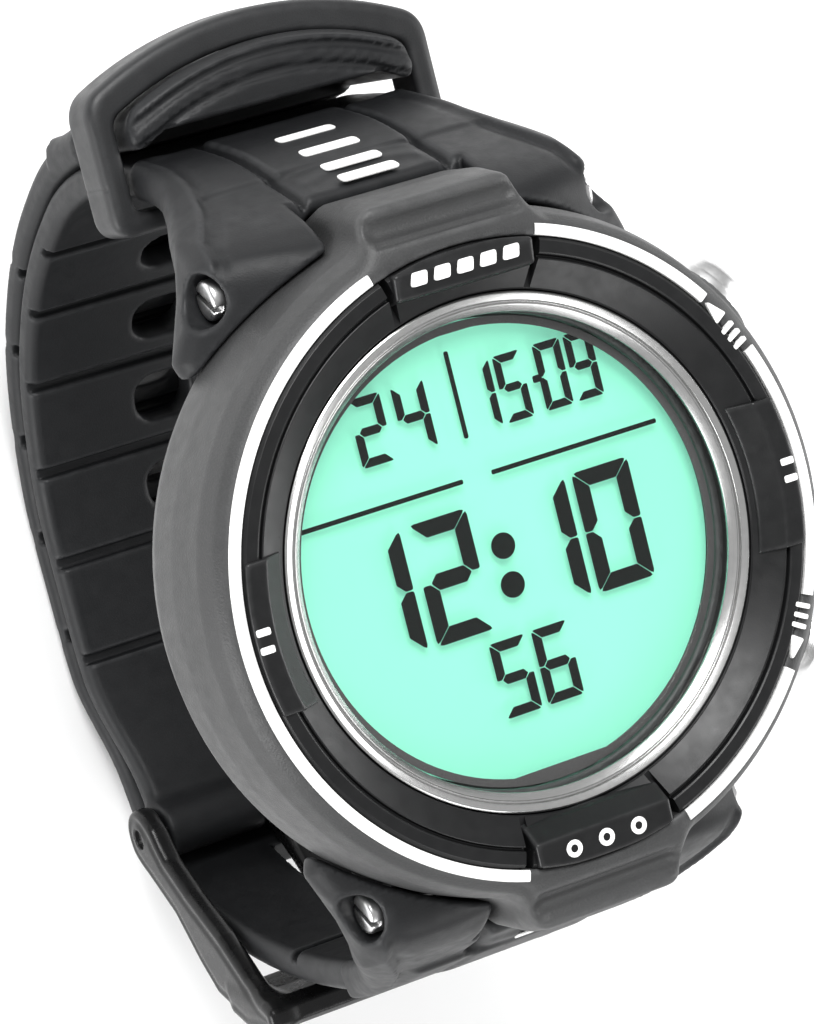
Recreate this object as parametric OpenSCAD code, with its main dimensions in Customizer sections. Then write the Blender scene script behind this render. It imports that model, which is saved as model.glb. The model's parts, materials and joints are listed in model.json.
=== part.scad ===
// Wrist dive computer: round case, segmented display, ribbed strap closed by a buckle and a keeper.
// The origin is the centre of the case's flat wrist face. +Z leaves the display, +Y is 12 o'clock.

/* [Case] */
// Radius of the case at its widest
case_r = 24.2; // [24.1:0.05:24.4]
// Height of the case's front rim above the wrist face
rim_z = 13.2; // [13.1:0.05:13.3]
// Radius of the sealed cavity
cavity_r = 17.2; // [17.15:0.05:17.25]
// Inner radius of the polished retainer ring, which frames the display
window_r = 16.56; // [16.5:0.02:16.6]

/* [Buttons] */
// Angle of each button from 3 o'clock, in degrees
button_angle = 31; // [30:0.5:31]
// Height of the button axes above the wrist face
button_z = 6.9; // [6.8:0.05:7]
// How far a button goes in when pressed
button_travel = 1.0; // [0.6:0.1:1.1]

/* [Strap] */
// Width of the strap
strap_w = 23; // [22.6:0.2:23]
// Thickness of one strap layer
strap_t = 2.4; // [2.3:0.05:2.4]
// Width of the strap between the buckle's arms
neck_w = 20.6; // [20:0.2:20.6]
// Distance between the adjusting slots
slot_pitch = 8.1; // [7.8:0.1:8.4]

/* [Keeper and buckle] */
// Half of the keeper's outer width
keeper_half_w = 13.9; // [13.9:0.1:14.2]
// Depth of the keeper along the strap
keeper_depth = 4.4; // [4:0.1:4.4]
// Half of the buckle's outer width
buckle_half_w = 12.5; // [12.5:0.1:12.8]

/* [Hidden] */
$fn = 96;

// Straps, as side profiles in Y and Z. Every curve is a spline through a few knots.
floor_z = -51.2;
layer_gap = 0.05;
loop_knots = [[31.7, -22], [30.4, -27.5], [27.9, -32.6], [25, -37], [21.3, -41], [16.8, -44.5],
    [11.4, -47], [5, -48.65], [-2, -48.75], [-8, -48.5], [-13.2, -47.3]];
upper_knots = concat([[30.1, -5.5], [31.3, -11.6], [31.7, -17]], loop_knots, [[-17.6, -45.6], [-21.2, -44.2]]);
lower_knots = [[-27.7, -5.5], [-28.9, -12], [-29.3, -20], [-28.9, -27], [-27.9, -33], [-26.4, -38],
    [-24.4, -42.3], [-22.2, -44.7], [-18.2, -46.1]];
tip_knots = [[32.05, -19.5]];
shoulder_outer = [[16.5, 10.2], [22, 10], [24.4, 8.2], [26, 5.1], [28.1, 0], [30.1, -5.5], [31.4, -11.6]];
shoulder_inner = [[29, -11.6], [28, -7.5], [26.3, -3.8], [23.6, -0.6], [20.5, 1.2], [16.5, 2]];
// Half width of a shoulder, seen from above by distance from the case centre, and from the end by height
shoulder_plan = [[11.5, 33], [11.5, 31], [12, 29.8], [13, 28.4], [15, 26.3], [16.2, 22.4], [18.2, 18.3],
    [17.4, 16.4]];
shoulder_front = [[11.5, -12], [11.6, -9.5], [12.3, -6], [13.4, -3], [15.4, 1], [18.6, 2.8], [18.6, 12]];
// The tail's end is arched across its width
crown_r = 24;
crown_y = 13.55;
tip_z = -9;

// Lugs and their fasteners
lug_y = 22;
lug_z = 4.5;
lug_half_w = 6.3;
ear_half_w = 15.7;
pocket_y = 19.3;
pocket_top = 8.6;
pin_r = 1.25;
pin_half_l = 13.5;
screw_head_r = 1.6;
screw_head_l = 1.5;

// Buckle
hinge_y = -21.5;
hinge_z = -42;
buckle_pin_r = 0.75;
sleeve_r = 2.15;
arm_t = 1.8;
tongue_half_w = 1.7;
slot_half_w = 2.4;
slot_r = 2.1;

// Display stack, as heights above the wrist face
back_t = 2;
cell_r = 12.25;
cell_z = 2.4;
cell_t = 3;
board_z = 6.2;
board_t = 0.8;
frame_r = 15.3;
rear_glass_z = 8.6;
segment_z = 9.22;
front_glass_z = 9.3;
mask_z = 9.72;
crystal_z = 9.9;
crystal_top = 11.1;
lcd_r = 16.3;
screw_ring_r = 18.6;

// A button's rear rim, and the floor of its recess, as distances from the case centre
button_x = 23;
recess_x = button_x - button_travel - 1;
cap_r = 13.6;
spanner_x = 9;

// ---- Curves ----

function blend_point(a, b, c, d, t) =
    0.5 * (2 * b + (c - a) * t + (2 * a - 5 * b + 4 * c - d) * t * t + (3 * b - a - 3 * c + d) * t * t * t);

// A smooth curve through every knot, with n steps between two knots
function spline(k, n = 5) = let(last = len(k) - 1) concat(
    [for (i = [0 : last - 1], j = [0 : n - 1])
        blend_point(k[max(i - 1, 0)], k[i], k[i + 1], k[min(i + 2, last)], j / n)],
    [k[last]]);

// The curve moved sideways by d, to the left of its direction for positive d
function shifted(p, d) = [for (i = [0 : len(p) - 1])
    let(v = p[min(i + 1, len(p) - 1)] - p[max(i - 1, 0)], l = norm(v)) p[i] + d * [-v[1], v[0]] / l];

function reversed(p) = [for (i = [len(p) - 1 : -1 : 0]) p[i]];

// Where a distance s along the curve falls, as [index of the step, part of that step]
function walk(p, s, i = 0) = let(l = norm(p[i + 1] - p[i]))
    s <= l || i >= len(p) - 2 ? [i, s / l] : walk(p, s - l, i + 1);

function above_floor(p) = [for (q = p) [q[0], max(q[1], floor_z)]];

// ---- Shared shapes ----

// The outline between a line of points and its mirror image
module both_sides(p) {
    polygon(concat(p, [for (q = reversed(p)) [-q[0], q[1]]]));
}

// Draws a profile of Y and Z, and gives it a width along X
module side_prism(w) {
    rotate([90, 0, 90]) linear_extrude(w, center = true) children();
}

// A flat ring between two radii
module ring(r_in, r_out, z, h) {
    translate([0, 0, z]) difference() {
        cylinder(r = r_out, h = h);
        translate([0, 0, -1]) cylinder(r = r_in, h = h + 2);
    }
}

module torus(r, minor) {
    rotate_extrude() translate([r, 0]) circle(minor, $fn = 24);
}

// Places a part on a button's axis: X leaves the case
module on_button(side) {
    translate([0, 0, button_z]) rotate([0, 0, side * button_angle]) children();
}

// A cylinder along X from one distance to another
module rod_x(r, from, to) {
    translate([from, 0, 0]) rotate([0, 90, 0]) cylinder(r = r, h = to - from);
}

// ---- Case ----

module bumper() {
    side_prism(12.8) polygon([[18.6, 2], [18.6, 13.1], [22.6, 13.1], [23.4, 12.6], [24, 11.7], [24.9, 11.7],
        [25.7, 10.8], [26, 9], [25.2, 5], [24.6, 2], [22.5, 0.9], [19.5, 0.9]]);
}

module case_body() {
    color([0.16, 0.17, 0.17]) difference() {
        union() {
            rotate_extrude() polygon([[15, 0], [20.2, 0], [20.9, 0.3], [23.3, 1.9], [case_r, 4.6],
                [case_r, 7.4], [23.85, 11], [23.2, 12.7], [22.6, rim_z], [15, rim_z]]);
            bumper();
            mirror([0, 1, 0]) bumper();
        }
        translate([0, 0, -1]) cylinder(r = cavity_r, h = 10.3);
        translate([0, 0, -1]) cylinder(r = 16.45, h = 20);
        translate([0, 0, crystal_z]) cylinder(r = 17.3, h = 10);
        translate([0, 0, crystal_z + 0.03]) cylinder(r = 18, h = 10);
        translate([0, 0, 10.4]) cylinder(r = 21.65, h = 10);
        ring(21.6, 22.6, 12.6, 2);
        translate([0, 0, -1]) cylinder(r = 20, h = 2);
        ring(17.2, 17.8, 0.9, 0.55);
        for (a = [45 : 90 : 315]) rotate([0, 0, a]) translate([screw_ring_r, 0, 0]) cylinder(r = 0.7, h = 5);
        for (s = [-1, 1], e = [-1, 1]) strap_pocket(s, e);
        for (s = [-1, 1]) translate([0, s * lug_y, lug_z]) rod_x(pin_r + 0.04, -8, 8);
        for (s = [-1, 1]) on_button(s) button_cut();
    }
}

// The pocket beside a lug, which takes one ear of a strap
module strap_pocket(side, end) {
    x0 = lug_half_w;
    translate([end > 0 ? x0 : -ear_half_w - 0.1, side > 0 ? pocket_y : -pocket_y - 12, -1])
        cube([ear_half_w + 0.1 - x0, 12, pocket_top + 1]);
}

module button_cut() {
    rod_x(3.3, recess_x, 30);
    rod_x(1.65, 15, 24);
}

module case_back() {
    color([0.42, 0.43, 0.44]) difference() {
        union() {
            cylinder(r = 19.9, h = 1);
            cylinder(r = 17.1, h = back_t);
        }
        translate([0, 0, -1]) cylinder(r = cap_r + 0.05, h = 5);
        translate([-15.6, 0, -1]) cylinder(r = 0.8, h = 5);
        for (a = [45 : 90 : 315]) rotate([0, 0, a]) translate([screw_ring_r, 0, 0]) {
            translate([0, 0, -1]) cylinder(r = 0.75, h = 4);
            translate([0, 0, -1]) cylinder(r = 1.2, h = 1.5);
        }
    }
}

module case_back_gasket() {
    color([0.1, 0.1, 0.1]) ring(17.25, 17.75, 1, 0.42);
}

module case_back_screws() {
    color([0.75, 0.76, 0.77]) for (a = [45 : 90 : 315]) rotate([0, 0, a]) translate([screw_ring_r, 0, 0])
        difference() {
            union() {
                translate([0, 0, 0.02]) cylinder(r = 1.15, h = 0.48);
                translate([0, 0, 0.3]) cylinder(r = 0.68, h = 3.5);
            }
            translate([-1.5, -0.15, -0.5]) cube([3, 0.3, 0.75]);
        }
}

// The battery cap has two blind holes for a pin spanner
module battery_cap() {
    color([0.14, 0.14, 0.15]) difference() {
        cylinder(r = cap_r, h = back_t);
        ring(13.1, 14.5, 0.9, 0.6);
        for (e = [-1, 1]) translate([e * spanner_x, 0, -1]) cylinder(r = 0.9, h = 2.2);
    }
}

module battery_cap_o_ring() {
    color([0.08, 0.08, 0.08]) translate([0, 0, 1.2]) torus(13.36, 0.25);
}

// ---- Bezel and window ----

module bezel_ring() {
    color([0.05, 0.05, 0.055]) difference() {
        union() {
            rotate_extrude() polygon([[18.05, 10.45], [18.05, 12], [20.1, 13.35], [20.1, 13.15], [20.35, 13.15],
                [20.35, 13.5], [21.3, 13.5], [21.6, 13.2], [21.6, 10.45]]);
            intersection() {
                union() {
                    side_prism(10.9) polygon([[19, 12], [19.1, 13.7], [20.6, 14.15], [23, 13.4], [23, 12]]);
                    side_prism(10.8) polygon([[-18.7, 12], [-18.9, 12.9], [-19.8, 13.9], [-23, 14], [-23, 12]]);
                }
                cylinder(r = 21.5, h = 20);
            }
            for (a = [0, 180]) rotate([0, 0, a]) intersection() {
                rotate_extrude() polygon([[18.6, 11.5], [18.6, 12.6], [19.9, 13.5], [21.4, 13.65], [21.4, 11.5]]);
                translate([15, -5.3, 10]) cube([10, 10.6, 5]);
            }
        }
        for (a = [0, 180]) rotate([0, 0, a]) for (s = [-1, 1])
            translate([20.3, s * 0.8, 13.3]) cube([1.7, 0.7, 1], center = true);
    }
}

// The two bars at 3 and 9 o'clock, and the triangle in the ring beside each button
module bezel_marks() {
    color("white") {
        for (a = [0, 180]) rotate([0, 0, a]) for (s = [-1, 1])
            translate([20.3, s * 0.8, 13.3]) cube([1.64, 0.64, 0.86], center = true);
        for (s = [-1, 1]) rotate([0, 0, s * (button_angle + 3.7)]) translate([22.1, 0, 12.62])
            linear_extrude(0.88) polygon([[-0.38, -0.7 * s], [0.38, -0.7 * s], [0, 0.72 * s]]);
    }
}

// The four white arcs around the bezel, broken at 12, 2, 4 and 6 o'clock
module accent_ring() {
    color("white") for (span = [[108, 254], [-72, -38], [-24, 24], [37, 74]])
        rotate([0, 0, span[0]]) rotate_extrude(angle = span[1] - span[0])
            polygon([[21.72, 12.62], [22.5, 12.62], [22.5, 13.35], [22.3, 13.5], [21.9, 13.5], [21.72, 13.35]]);
}

module glass_retainer() {
    color([0.75, 0.75, 0.74]) rotate_extrude() polygon([[window_r, crystal_top + 0.02], [window_r, 11.4],
        [17.1, 11.85], [17.2, 11.7], [17.3, 11.7], [17.4, 11.95], [17.9, 12.1], [17.95, 12],
        [17.95, crystal_z + 0.06], [17.35, crystal_z + 0.06], [17.35, crystal_top + 0.02]]);
}

module crystal() {
    color([0.9, 0.95, 0.95, 0.3]) translate([0, 0, crystal_z]) cylinder(r = 16.95, h = crystal_top - crystal_z);
}

module crystal_gasket() {
    color([0.2, 0.2, 0.2]) ring(16.97, 17.28, crystal_z + 0.01, 1.15);
}

// The dark printed mask around the display, whose opening is flattened at 6 and notched at 12
module display_mask() {
    color([0.25, 0.27, 0.27]) translate([0, 0, mask_z]) linear_extrude(0.14) difference() {
        circle(lcd_r);
        intersection() {
            circle(15.75);
            translate([-20, -15.3]) square([40, 31]);
        }
    }
}

// ---- Display ----

module lcd_front_glass() {
    color([0.8, 0.95, 0.9, 0.3]) translate([0, 0, front_glass_z]) cylinder(r = lcd_r, h = 0.4);
}

module lcd_rear_glass() {
    color([0.55, 0.88, 0.75]) translate([0, 0, rear_glass_z]) cylinder(r = lcd_r, h = 0.4);
}

// One bar of a digit, from the origin along +X, with pointed ends
module bar(l, t) {
    polygon([[t * 0.6, 0], [t * 1.1, t / 2], [l - t * 1.1, t / 2], [l - t * 0.6, 0], [l - t * 1.1, -t / 2],
        [t * 1.1, -t / 2]]);
}

// A seven-bar digit. on lists its lit bars: 0 top, 1 upper right, 2 lower right, 3 bottom, 4 lower left,
// 5 upper left, 6 middle. The digit's centre is the origin, and w and h are its bar lengths.
module digit(on, w, h, t) {
    for (b = on) {
        if (b == 0) translate([-w / 2, h]) bar(w, t);
        if (b == 6) translate([-w / 2, 0]) bar(w, t);
        if (b == 3) translate([-w / 2, -h]) bar(w, t);
        if (b == 1) translate([w / 2, 0]) rotate(90) bar(h, t);
        if (b == 2) translate([w / 2, -h]) rotate(90) bar(h, t);
        if (b == 4) translate([-w / 2, -h]) rotate(90) bar(h, t);
        if (b == 5) translate([-w / 2, 0]) rotate(90) bar(h, t);
    }
}

lit = [[0, 1, 2, 3, 4, 5], [1, 2], [0, 1, 6, 4, 3], [0, 1, 6, 2, 3], [5, 6, 1, 2], [0, 5, 6, 2, 3],
    [0, 5, 4, 3, 2, 6], [0, 1, 2], [0, 1, 2, 3, 4, 5, 6], [0, 1, 2, 3, 5, 6]];

module row_of_digits(values, x0, pitch, y, w, h, t) {
    for (i = [0 : len(values) - 1]) translate([x0 + i * pitch, y]) digit(lit[values[i]], w, h, t);
}

module lcd_segments() {
    color([0.06, 0.08, 0.08]) translate([0, 0, segment_z]) linear_extrude(0.07) {
        row_of_digits([1, 2], -9.7, 5.3, -0.6, 3.4, 3.7, 0.95);
        row_of_digits([1, 0], 3.5, 5.2, -0.6, 3.4, 3.7, 0.95);
        for (y = [0.4, -2.4]) translate([0, y]) circle(0.85);
        row_of_digits([5, 6], -1.5, 3.4, -8.6, 2.2, 2.3, 0.6);
        row_of_digits([2, 4], -7.6, 3.4, 10.8, 2, 2, 0.55);
        row_of_digits([1, 5], 1.2, 2.5, 10.8, 1.7, 2, 0.5);
        row_of_digits([0, 9], 6.9, 2.5, 10.8, 1.7, 2, 0.5);
        translate([5.2, 10.6]) square([0.9, 0.45]);
        translate([-0.9, 8.3]) square([0.35, 6.2]);
        translate([-14.6, 5.35]) square([12.8, 0.35]);
        translate([0.5, 5.35]) square([13.5, 0.35]);
    }
}

module light_guide() {
    color([0.9, 0.95, 0.9]) translate([-11, -9, 7.9]) cube([22, 18, 0.65]);
}

module module_frame() {
    color([0.85, 0.85, 0.82]) ring(14.4, frame_r, 4, rear_glass_z - 4.05);
}

module zebra_strips() {
    color([0.35, 0.35, 0.38]) for (s = [-1, 1]) translate([-5, s * 12.6 - 0.6, board_z + board_t + 0.02])
        cube([10, 1.2, rear_glass_z - board_z - board_t - 0.04]);
}

module circuit_board() {
    color([0.1, 0.35, 0.2]) translate([0, 0, board_z]) cylinder(r = 14.3, h = board_t);
}

module board_chips() {
    color([0.12, 0.12, 0.13]) translate([0, 0, board_z + board_t]) {
        translate([3, 1, 0]) cube([6, 6, 0.75]);
        translate([3, -7, 0]) cube([4, 5, 0.75]);
        translate([-9, 5, 0]) cube([5, 3.2, 0.75]);
        translate([9.5, -5, 0]) cube([1.5, 3.2, 0.75]);
    }
}

module buzzer() {
    color([0.8, 0.65, 0.3]) translate([-5, -3, board_z + board_t]) {
        cylinder(r = 4.6, h = 0.35);
        cylinder(r = 3, h = 0.6);
    }
}

// The spring leaf that presses on the cell, and the side clip
module battery_contact() {
    color([0.8, 0.8, 0.78]) {
        translate([-5, -1.5, cell_z + cell_t + 0.02]) cube([10, 3, 0.25]);
        translate([4, -1.5, cell_z + cell_t + 0.02]) cube([1, 3, board_z - cell_z - cell_t - 0.04]);
        translate([12.4, -2.5, 4]) cube([0.4, 5, board_z - 4.02]);
    }
}

module coin_cell() {
    color([0.8, 0.8, 0.8]) translate([0, 0, cell_z]) {
        cylinder(r = cell_r, h = cell_t - 0.4);
        cylinder(r = cell_r - 1.2, h = cell_t);
    }
}

module pressure_sensor() {
    color([0.7, 0.7, 0.7]) translate([-15.6, 0, back_t + 0.02]) {
        cylinder(r = 1.3, h = 1.5);
        cylinder(r = 0.9, h = 1.9);
    }
}

module sensor_o_ring() {
    color([0.08, 0.08, 0.08]) translate([-15.6, 0, 1.4]) difference() {
        cylinder(r = 0.78, h = 0.58);
        translate([0, 0, -1]) cylinder(r = 0.4, h = 3);
    }
}

// ---- Buttons ----

module button(side) {
    color([0.72, 0.72, 0.72]) on_button(side) {
        difference() {
            union() {
                rod_x(3.2, button_x, 25.9);
                rod_x(2.9, 25.8, 26.3);
            }
            rod_x(2.7, 22, 25.3);
        }
        difference() {
            rod_x(1.2, 16.4, 25.5);
            translate([19.5, 0, 0]) rotate([0, 90, 0]) difference() {
                cylinder(r = 2, h = 0.6);
                translate([0, 0, -1]) cylinder(r = 0.85, h = 3);
            }
            translate([16.7, 0, 0]) rotate([0, 90, 0]) difference() {
                cylinder(r = 2, h = 0.32);
                translate([0, 0, -1]) cylinder(r = 0.95, h = 3);
            }
        }
    }
}

module button_tube(side) {
    color([0.65, 0.65, 0.66]) on_button(side) difference() {
        rod_x(1.63, 17.15, 22.6);
        rod_x(1.25, 10, 30);
    }
}

// A coil drawn as a stack of rings joined by two ribs, which is how closely it fills its space
module button_spring(side) {
    color([0.7, 0.7, 0.7]) on_button(side) difference() {
        rod_x(2.5, recess_x + 0.05, 25.25);
        rod_x(1.8, 20, 30);
        for (x = [21.5 : 0.9 : 24.8]) translate([x, 0, 0]) rotate([0, 90, 0]) difference() {
            cylinder(r = 4, h = 0.5);
            translate([-5, -0.35, -1]) cube([10, 0.7, 3]);
        }
    }
}

module button_o_ring(side) {
    color([0.08, 0.08, 0.08]) on_button(side) translate([19.8, 0, 0]) rotate([0, 90, 0]) torus(1.04, 0.18);
}

module button_clip(side) {
    color([0.6, 0.6, 0.6]) on_button(side) difference() {
        rod_x(1.6, 16.76, 16.98);
        rod_x(0.96, 15, 18);
        translate([15, -0.5, 0]) cube([3, 1, 3]);
    }
}

// ---- Straps ----

// The root of a strap: two ears beside the lug, and the wings that wrap round the case
module shoulder() {
    difference() {
        union() {
            intersection() {
                side_prism(60) polygon(concat(spline(shoulder_outer), spline(shoulder_inner)));
                linear_extrude(60, center = true) both_sides(shoulder_plan);
                translate([0, 40, 0]) rotate([90, 0, 0]) linear_extrude(40) both_sides(shoulder_front);
                translate([0, 50, -22.7]) rotate([90, 0, 0]) cylinder(r = 32.6, h = 60);
            }
            for (e = [-1, 1]) translate([e > 0 ? lug_half_w + 0.1 : -ear_half_w, pocket_y + 0.1, 1.2])
                cube([ear_half_w - lug_half_w - 0.1, 5.5, pocket_top - 1.3]);
        }
        difference() {
            translate([0, 0, -1]) cylinder(r = case_r + 0.06, h = 30);
            for (e = [-1, 1]) translate([e > 0 ? lug_half_w + 0.1 : -ear_half_w, pocket_y + 0.1, -2])
                cube([ear_half_w - lug_half_w - 0.1, 8, pocket_top + 1.9]);
        }
        translate([-lug_half_w - 0.2, 15, -2]) cube([2 * lug_half_w + 0.4, 11.1, 20]);
        translate([0, lug_y, lug_z]) rod_x(pin_r + 0.03, -20, 20);
        for (e = [-1, 1]) translate([0, lug_y, lug_z]) rod_x(screw_head_r + 0.15, e > 0 ? 13.6 : -25, e > 0 ? 25 : -13.6);
        for (e = [-1, 1]) translate([e * 5.8, 28, 0]) cube([0.4, 12, 40], center = true);
    }
}

// The loop between the outer face of a layer and the face one thickness inside it
module band(outer, inner, w) {
    side_prism(w) polygon(concat(outer, reversed(inner)));
}

module upper_strap() {
    path = spline(upper_knots);
    color([0.13, 0.13, 0.135]) difference() {
        union() {
            difference() {
                band(shifted(path, -layer_gap), shifted(path, -layer_gap - strap_t), strap_w);
                neck_cuts(-13);
            }
            shoulder();
            translate([0, hinge_y, hinge_z]) rod_x(sleeve_r, -neck_w / 2, neck_w / 2);
        }
        translate([0, hinge_y, hinge_z]) rod_x(buckle_pin_r + 0.04, -20, 20);
        translate([-tongue_half_w - 0.3, hinge_y - 6, hinge_z - 6])
            cube([2 * tongue_half_w + 0.6, 9.2, 12]);
        slots(path, 25, 67);
    }
}

// Narrows a strap between the buckle's arms, where y is below the given value
module neck_cuts(y_end) {
    for (e = [-1, 1]) translate([e > 0 ? neck_w / 2 : -neck_w / 2 - 5, y_end - 40, -70]) cube([5, 40, 52]);
}

// Wide oval slots through a layer, a pitch apart, from one distance along its path to another
module slots(path, from, to) {
    for (s = [from : slot_pitch : to]) {
        w = walk(path, s);
        v = path[w[0] + 1] - path[w[0]];
        q = path[w[0]] + v * w[1];
        translate([0, q[0], q[1]]) rotate([atan2(v[1], v[0]), 0, 0]) for (e = [-1, 1]) {
            translate([e * (slot_half_w - slot_r), 0, -4]) cylinder(r = slot_r, h = 8);
            translate([-slot_half_w + slot_r, -slot_r, -4]) cube([2 * (slot_half_w - slot_r), 2 * slot_r, 8]);
        }
    }
}

module lower_strap() {
    path = spline(concat(lower_knots, reversed(loop_knots), tip_knots));
    outer = above_floor(shifted(path, -layer_gap - strap_t));
    color([0.13, 0.13, 0.135]) difference() {
        union() {
            difference() {
                band(outer, shifted(path, -layer_gap), strap_w);
                neck_cuts(-13);
            }
            mirror([0, 1, 0]) shoulder();
            difference() {
                crown_slice(-19.1, tip_z - 0.001);
                translate([0, 0, tip_z - 1.2]) tip_corners();
            }
            hull() {
                crown_slice(-19.2, -19);
                translate([-strap_w / 2, 31.85, -25]) cube([strap_w, 1.7, 0.5]);
            }
        }
        tongue_slot();
        slots(path, 54.3, 100);
    }
}

// The arched end of the tail between two heights
module crown_slice(z0, z1) {
    translate([0, 0, z0]) linear_extrude(z1 - z0) intersection() {
        difference() {
            translate([0, crown_y]) circle(crown_r);
            translate([0, crown_y]) circle(crown_r - strap_t);
        }
        translate([-strap_w / 2, 25]) square([strap_w, 20]);
    }
}

module tip_corners() {
    for (e = [-1, 1]) translate([e * 11.6, 35, 0]) rotate([0, e * 35, 0]) translate([-3, -6, 0.4]) cube([8, 12, 4]);
}

// The slot that the tongue goes through, with the play that lets the buckle move
module tongue_slot() {
    on_buckle() translate([-slot_half_w, -13.8, -5.5]) cube([2 * slot_half_w, 10.5, 8.5]);
}

module strap_pin(side) {
    color([0.7, 0.7, 0.7]) translate([0, side * lug_y, lug_z]) difference() {
        rod_x(pin_r, -pin_half_l, pin_half_l);
        for (e = [-1, 1]) rod_x(0.72, e > 0 ? 10 : -20, e > 0 ? 20 : -10);
    }
}

module strap_screws() {
    color([0.8, 0.8, 0.8]) for (s = [-1, 1], e = [-1, 1])
        translate([0, s * lug_y, lug_z]) mirror([e > 0 ? 0 : 1, 0, 0]) difference() {
            union() {
                rod_x(screw_head_r, pin_half_l + 0.15, pin_half_l + 0.15 + screw_head_l);
                rod_x(0.7, 10.3, pin_half_l + 0.5);
            }
            translate([pin_half_l + screw_head_l - 0.55, -3, -0.25]) cube([3, 6, 0.5]);
        }
}

// Plain printed bars on the upper strap's centre panel
module strap_inlays() {
    path = spline(shoulder_outer, 8);
    color("white") for (i = [30, 33, 36, 39]) {
        v = path[i + 1] - path[i - 1];
        translate([0, path[i][0], path[i][1]]) rotate([atan2(v[1], v[0]), 0, 0])
            translate([-2.2 + (i - 30) * 0.08, -0.35, 0.02]) cube([4.4 - (i - 30) * 0.16, 0.7, 0.1]);
    }
}

// ---- Keeper and buckle ----

module keeper_loop() {
    color([0.15, 0.155, 0.155]) translate([0, 0, -15.2]) linear_extrude(keeper_depth) difference() {
        intersection() {
            translate([0, 11.9]) circle(28.3);
            hull() for (e = [-1, 1]) {
                translate([e * (keeper_half_w - 1.6), 28]) circle(1.6, $fn = 32);
                translate([e * (keeper_half_w - 0.6), 41]) circle(0.6, $fn = 32);
            }
        }
        intersection() {
            translate([0, 11.9]) circle(26.2);
            translate([-keeper_half_w + 1.9, 28]) square([2 * keeper_half_w - 3.8, 20]);
        }
    }
}

// Places a part on the buckle's pin: -Y runs from the pin to the crossbar, and +Z faces the wrist
module on_buckle() {
    translate([0, hinge_y, hinge_z]) rotate([-50, 0, 0]) children();
}

// One arm of the buckle, as its outline in Y and Z
module arm_outline() {
    translate([hinge_y, hinge_z]) circle(2.3);
    polygon([[hinge_y - 0.7, hinge_z - 2.1], [-24.2, -42.6], [-27.4, -38.6], [-31, -36], [-33.4, -33.8],
        [-35.4, -28.6], [-35.4, -24.4], [-34.9, -23.8], [-33.7, -23.8], [-33.1, -25.2], [-31.4, -27.6],
        [-28.4, -31], [-25.5, -35.2], [-23, -38.2], [hinge_y + 1.2, hinge_z + 2]]);
}

module buckle_frame() {
    color([0.03, 0.03, 0.03]) difference() {
        union() {
            for (e = [-1, 1]) translate([e * (buckle_half_w - arm_t / 2), 0, 0]) side_prism(arm_t) arm_outline();
            side_prism(2 * buckle_half_w) polygon([[-35.4, -28.4], [-35.4, -24.4], [-34.9, -23.8],
                [-33.7, -23.8], [-33.2, -24.8], [-33.2, -27.2], [-34, -28.6]]);
        }
        translate([0, hinge_y, hinge_z]) rod_x(buckle_pin_r, -20, 20);
    }
}

module buckle_pin() {
    color([0.6, 0.6, 0.6]) translate([0, hinge_y, hinge_z]) rod_x(buckle_pin_r, -12.1, 12.1);
}

module buckle_tongue() {
    color([0.04, 0.04, 0.04]) difference() {
        union() {
            on_buckle() side_prism(2 * tongue_half_w) polygon([[-1.2, -1.6], [-6, -1.75], [-12, -2.3],
                [-17.5, -2.55], [-19.3, -2.6], [-19.5, -2.35], [-19.2, -2.05], [-18.1, -1.3], [-17, -1],
                [-12, -0.9], [-6, 0.1], [-1.2, 1.3]]);
            translate([0, hinge_y, hinge_z]) rod_x(2, -tongue_half_w, tongue_half_w);
        }
        translate([0, hinge_y, hinge_z]) rod_x(buckle_pin_r + 0.04, -20, 20);
    }
}

case_body();
bezel_ring();
bezel_marks();
accent_ring();
glass_retainer();
crystal();
crystal_gasket();
display_mask();
lcd_front_glass();
lcd_segments();
lcd_rear_glass();
light_guide();
module_frame();
zebra_strips();
circuit_board();
board_chips();
buzzer();
battery_contact();
coin_cell();
pressure_sensor();
sensor_o_ring();
case_back();
case_back_gasket();
case_back_screws();
battery_cap();
battery_cap_o_ring();
button(1);  // upper_button
button_tube(1);  // upper_button_tube
button_spring(1);  // upper_button_spring
button_o_ring(1);  // upper_button_o_ring
button_clip(1);  // upper_button_clip
button(-1);  // lower_button
button_tube(-1);  // lower_button_tube
button_spring(-1);  // lower_button_spring
button_o_ring(-1);  // lower_button_o_ring
button_clip(-1);  // lower_button_clip
upper_strap();
lower_strap();
strap_pin(1);  // upper_strap_pin
strap_pin(-1);  // lower_strap_pin
strap_screws();
strap_inlays();
keeper_loop();
buckle_frame();
buckle_pin();
buckle_tongue();
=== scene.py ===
import json
import math

import bpy
import numpy as np
from mathutils import Matrix, Vector


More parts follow.
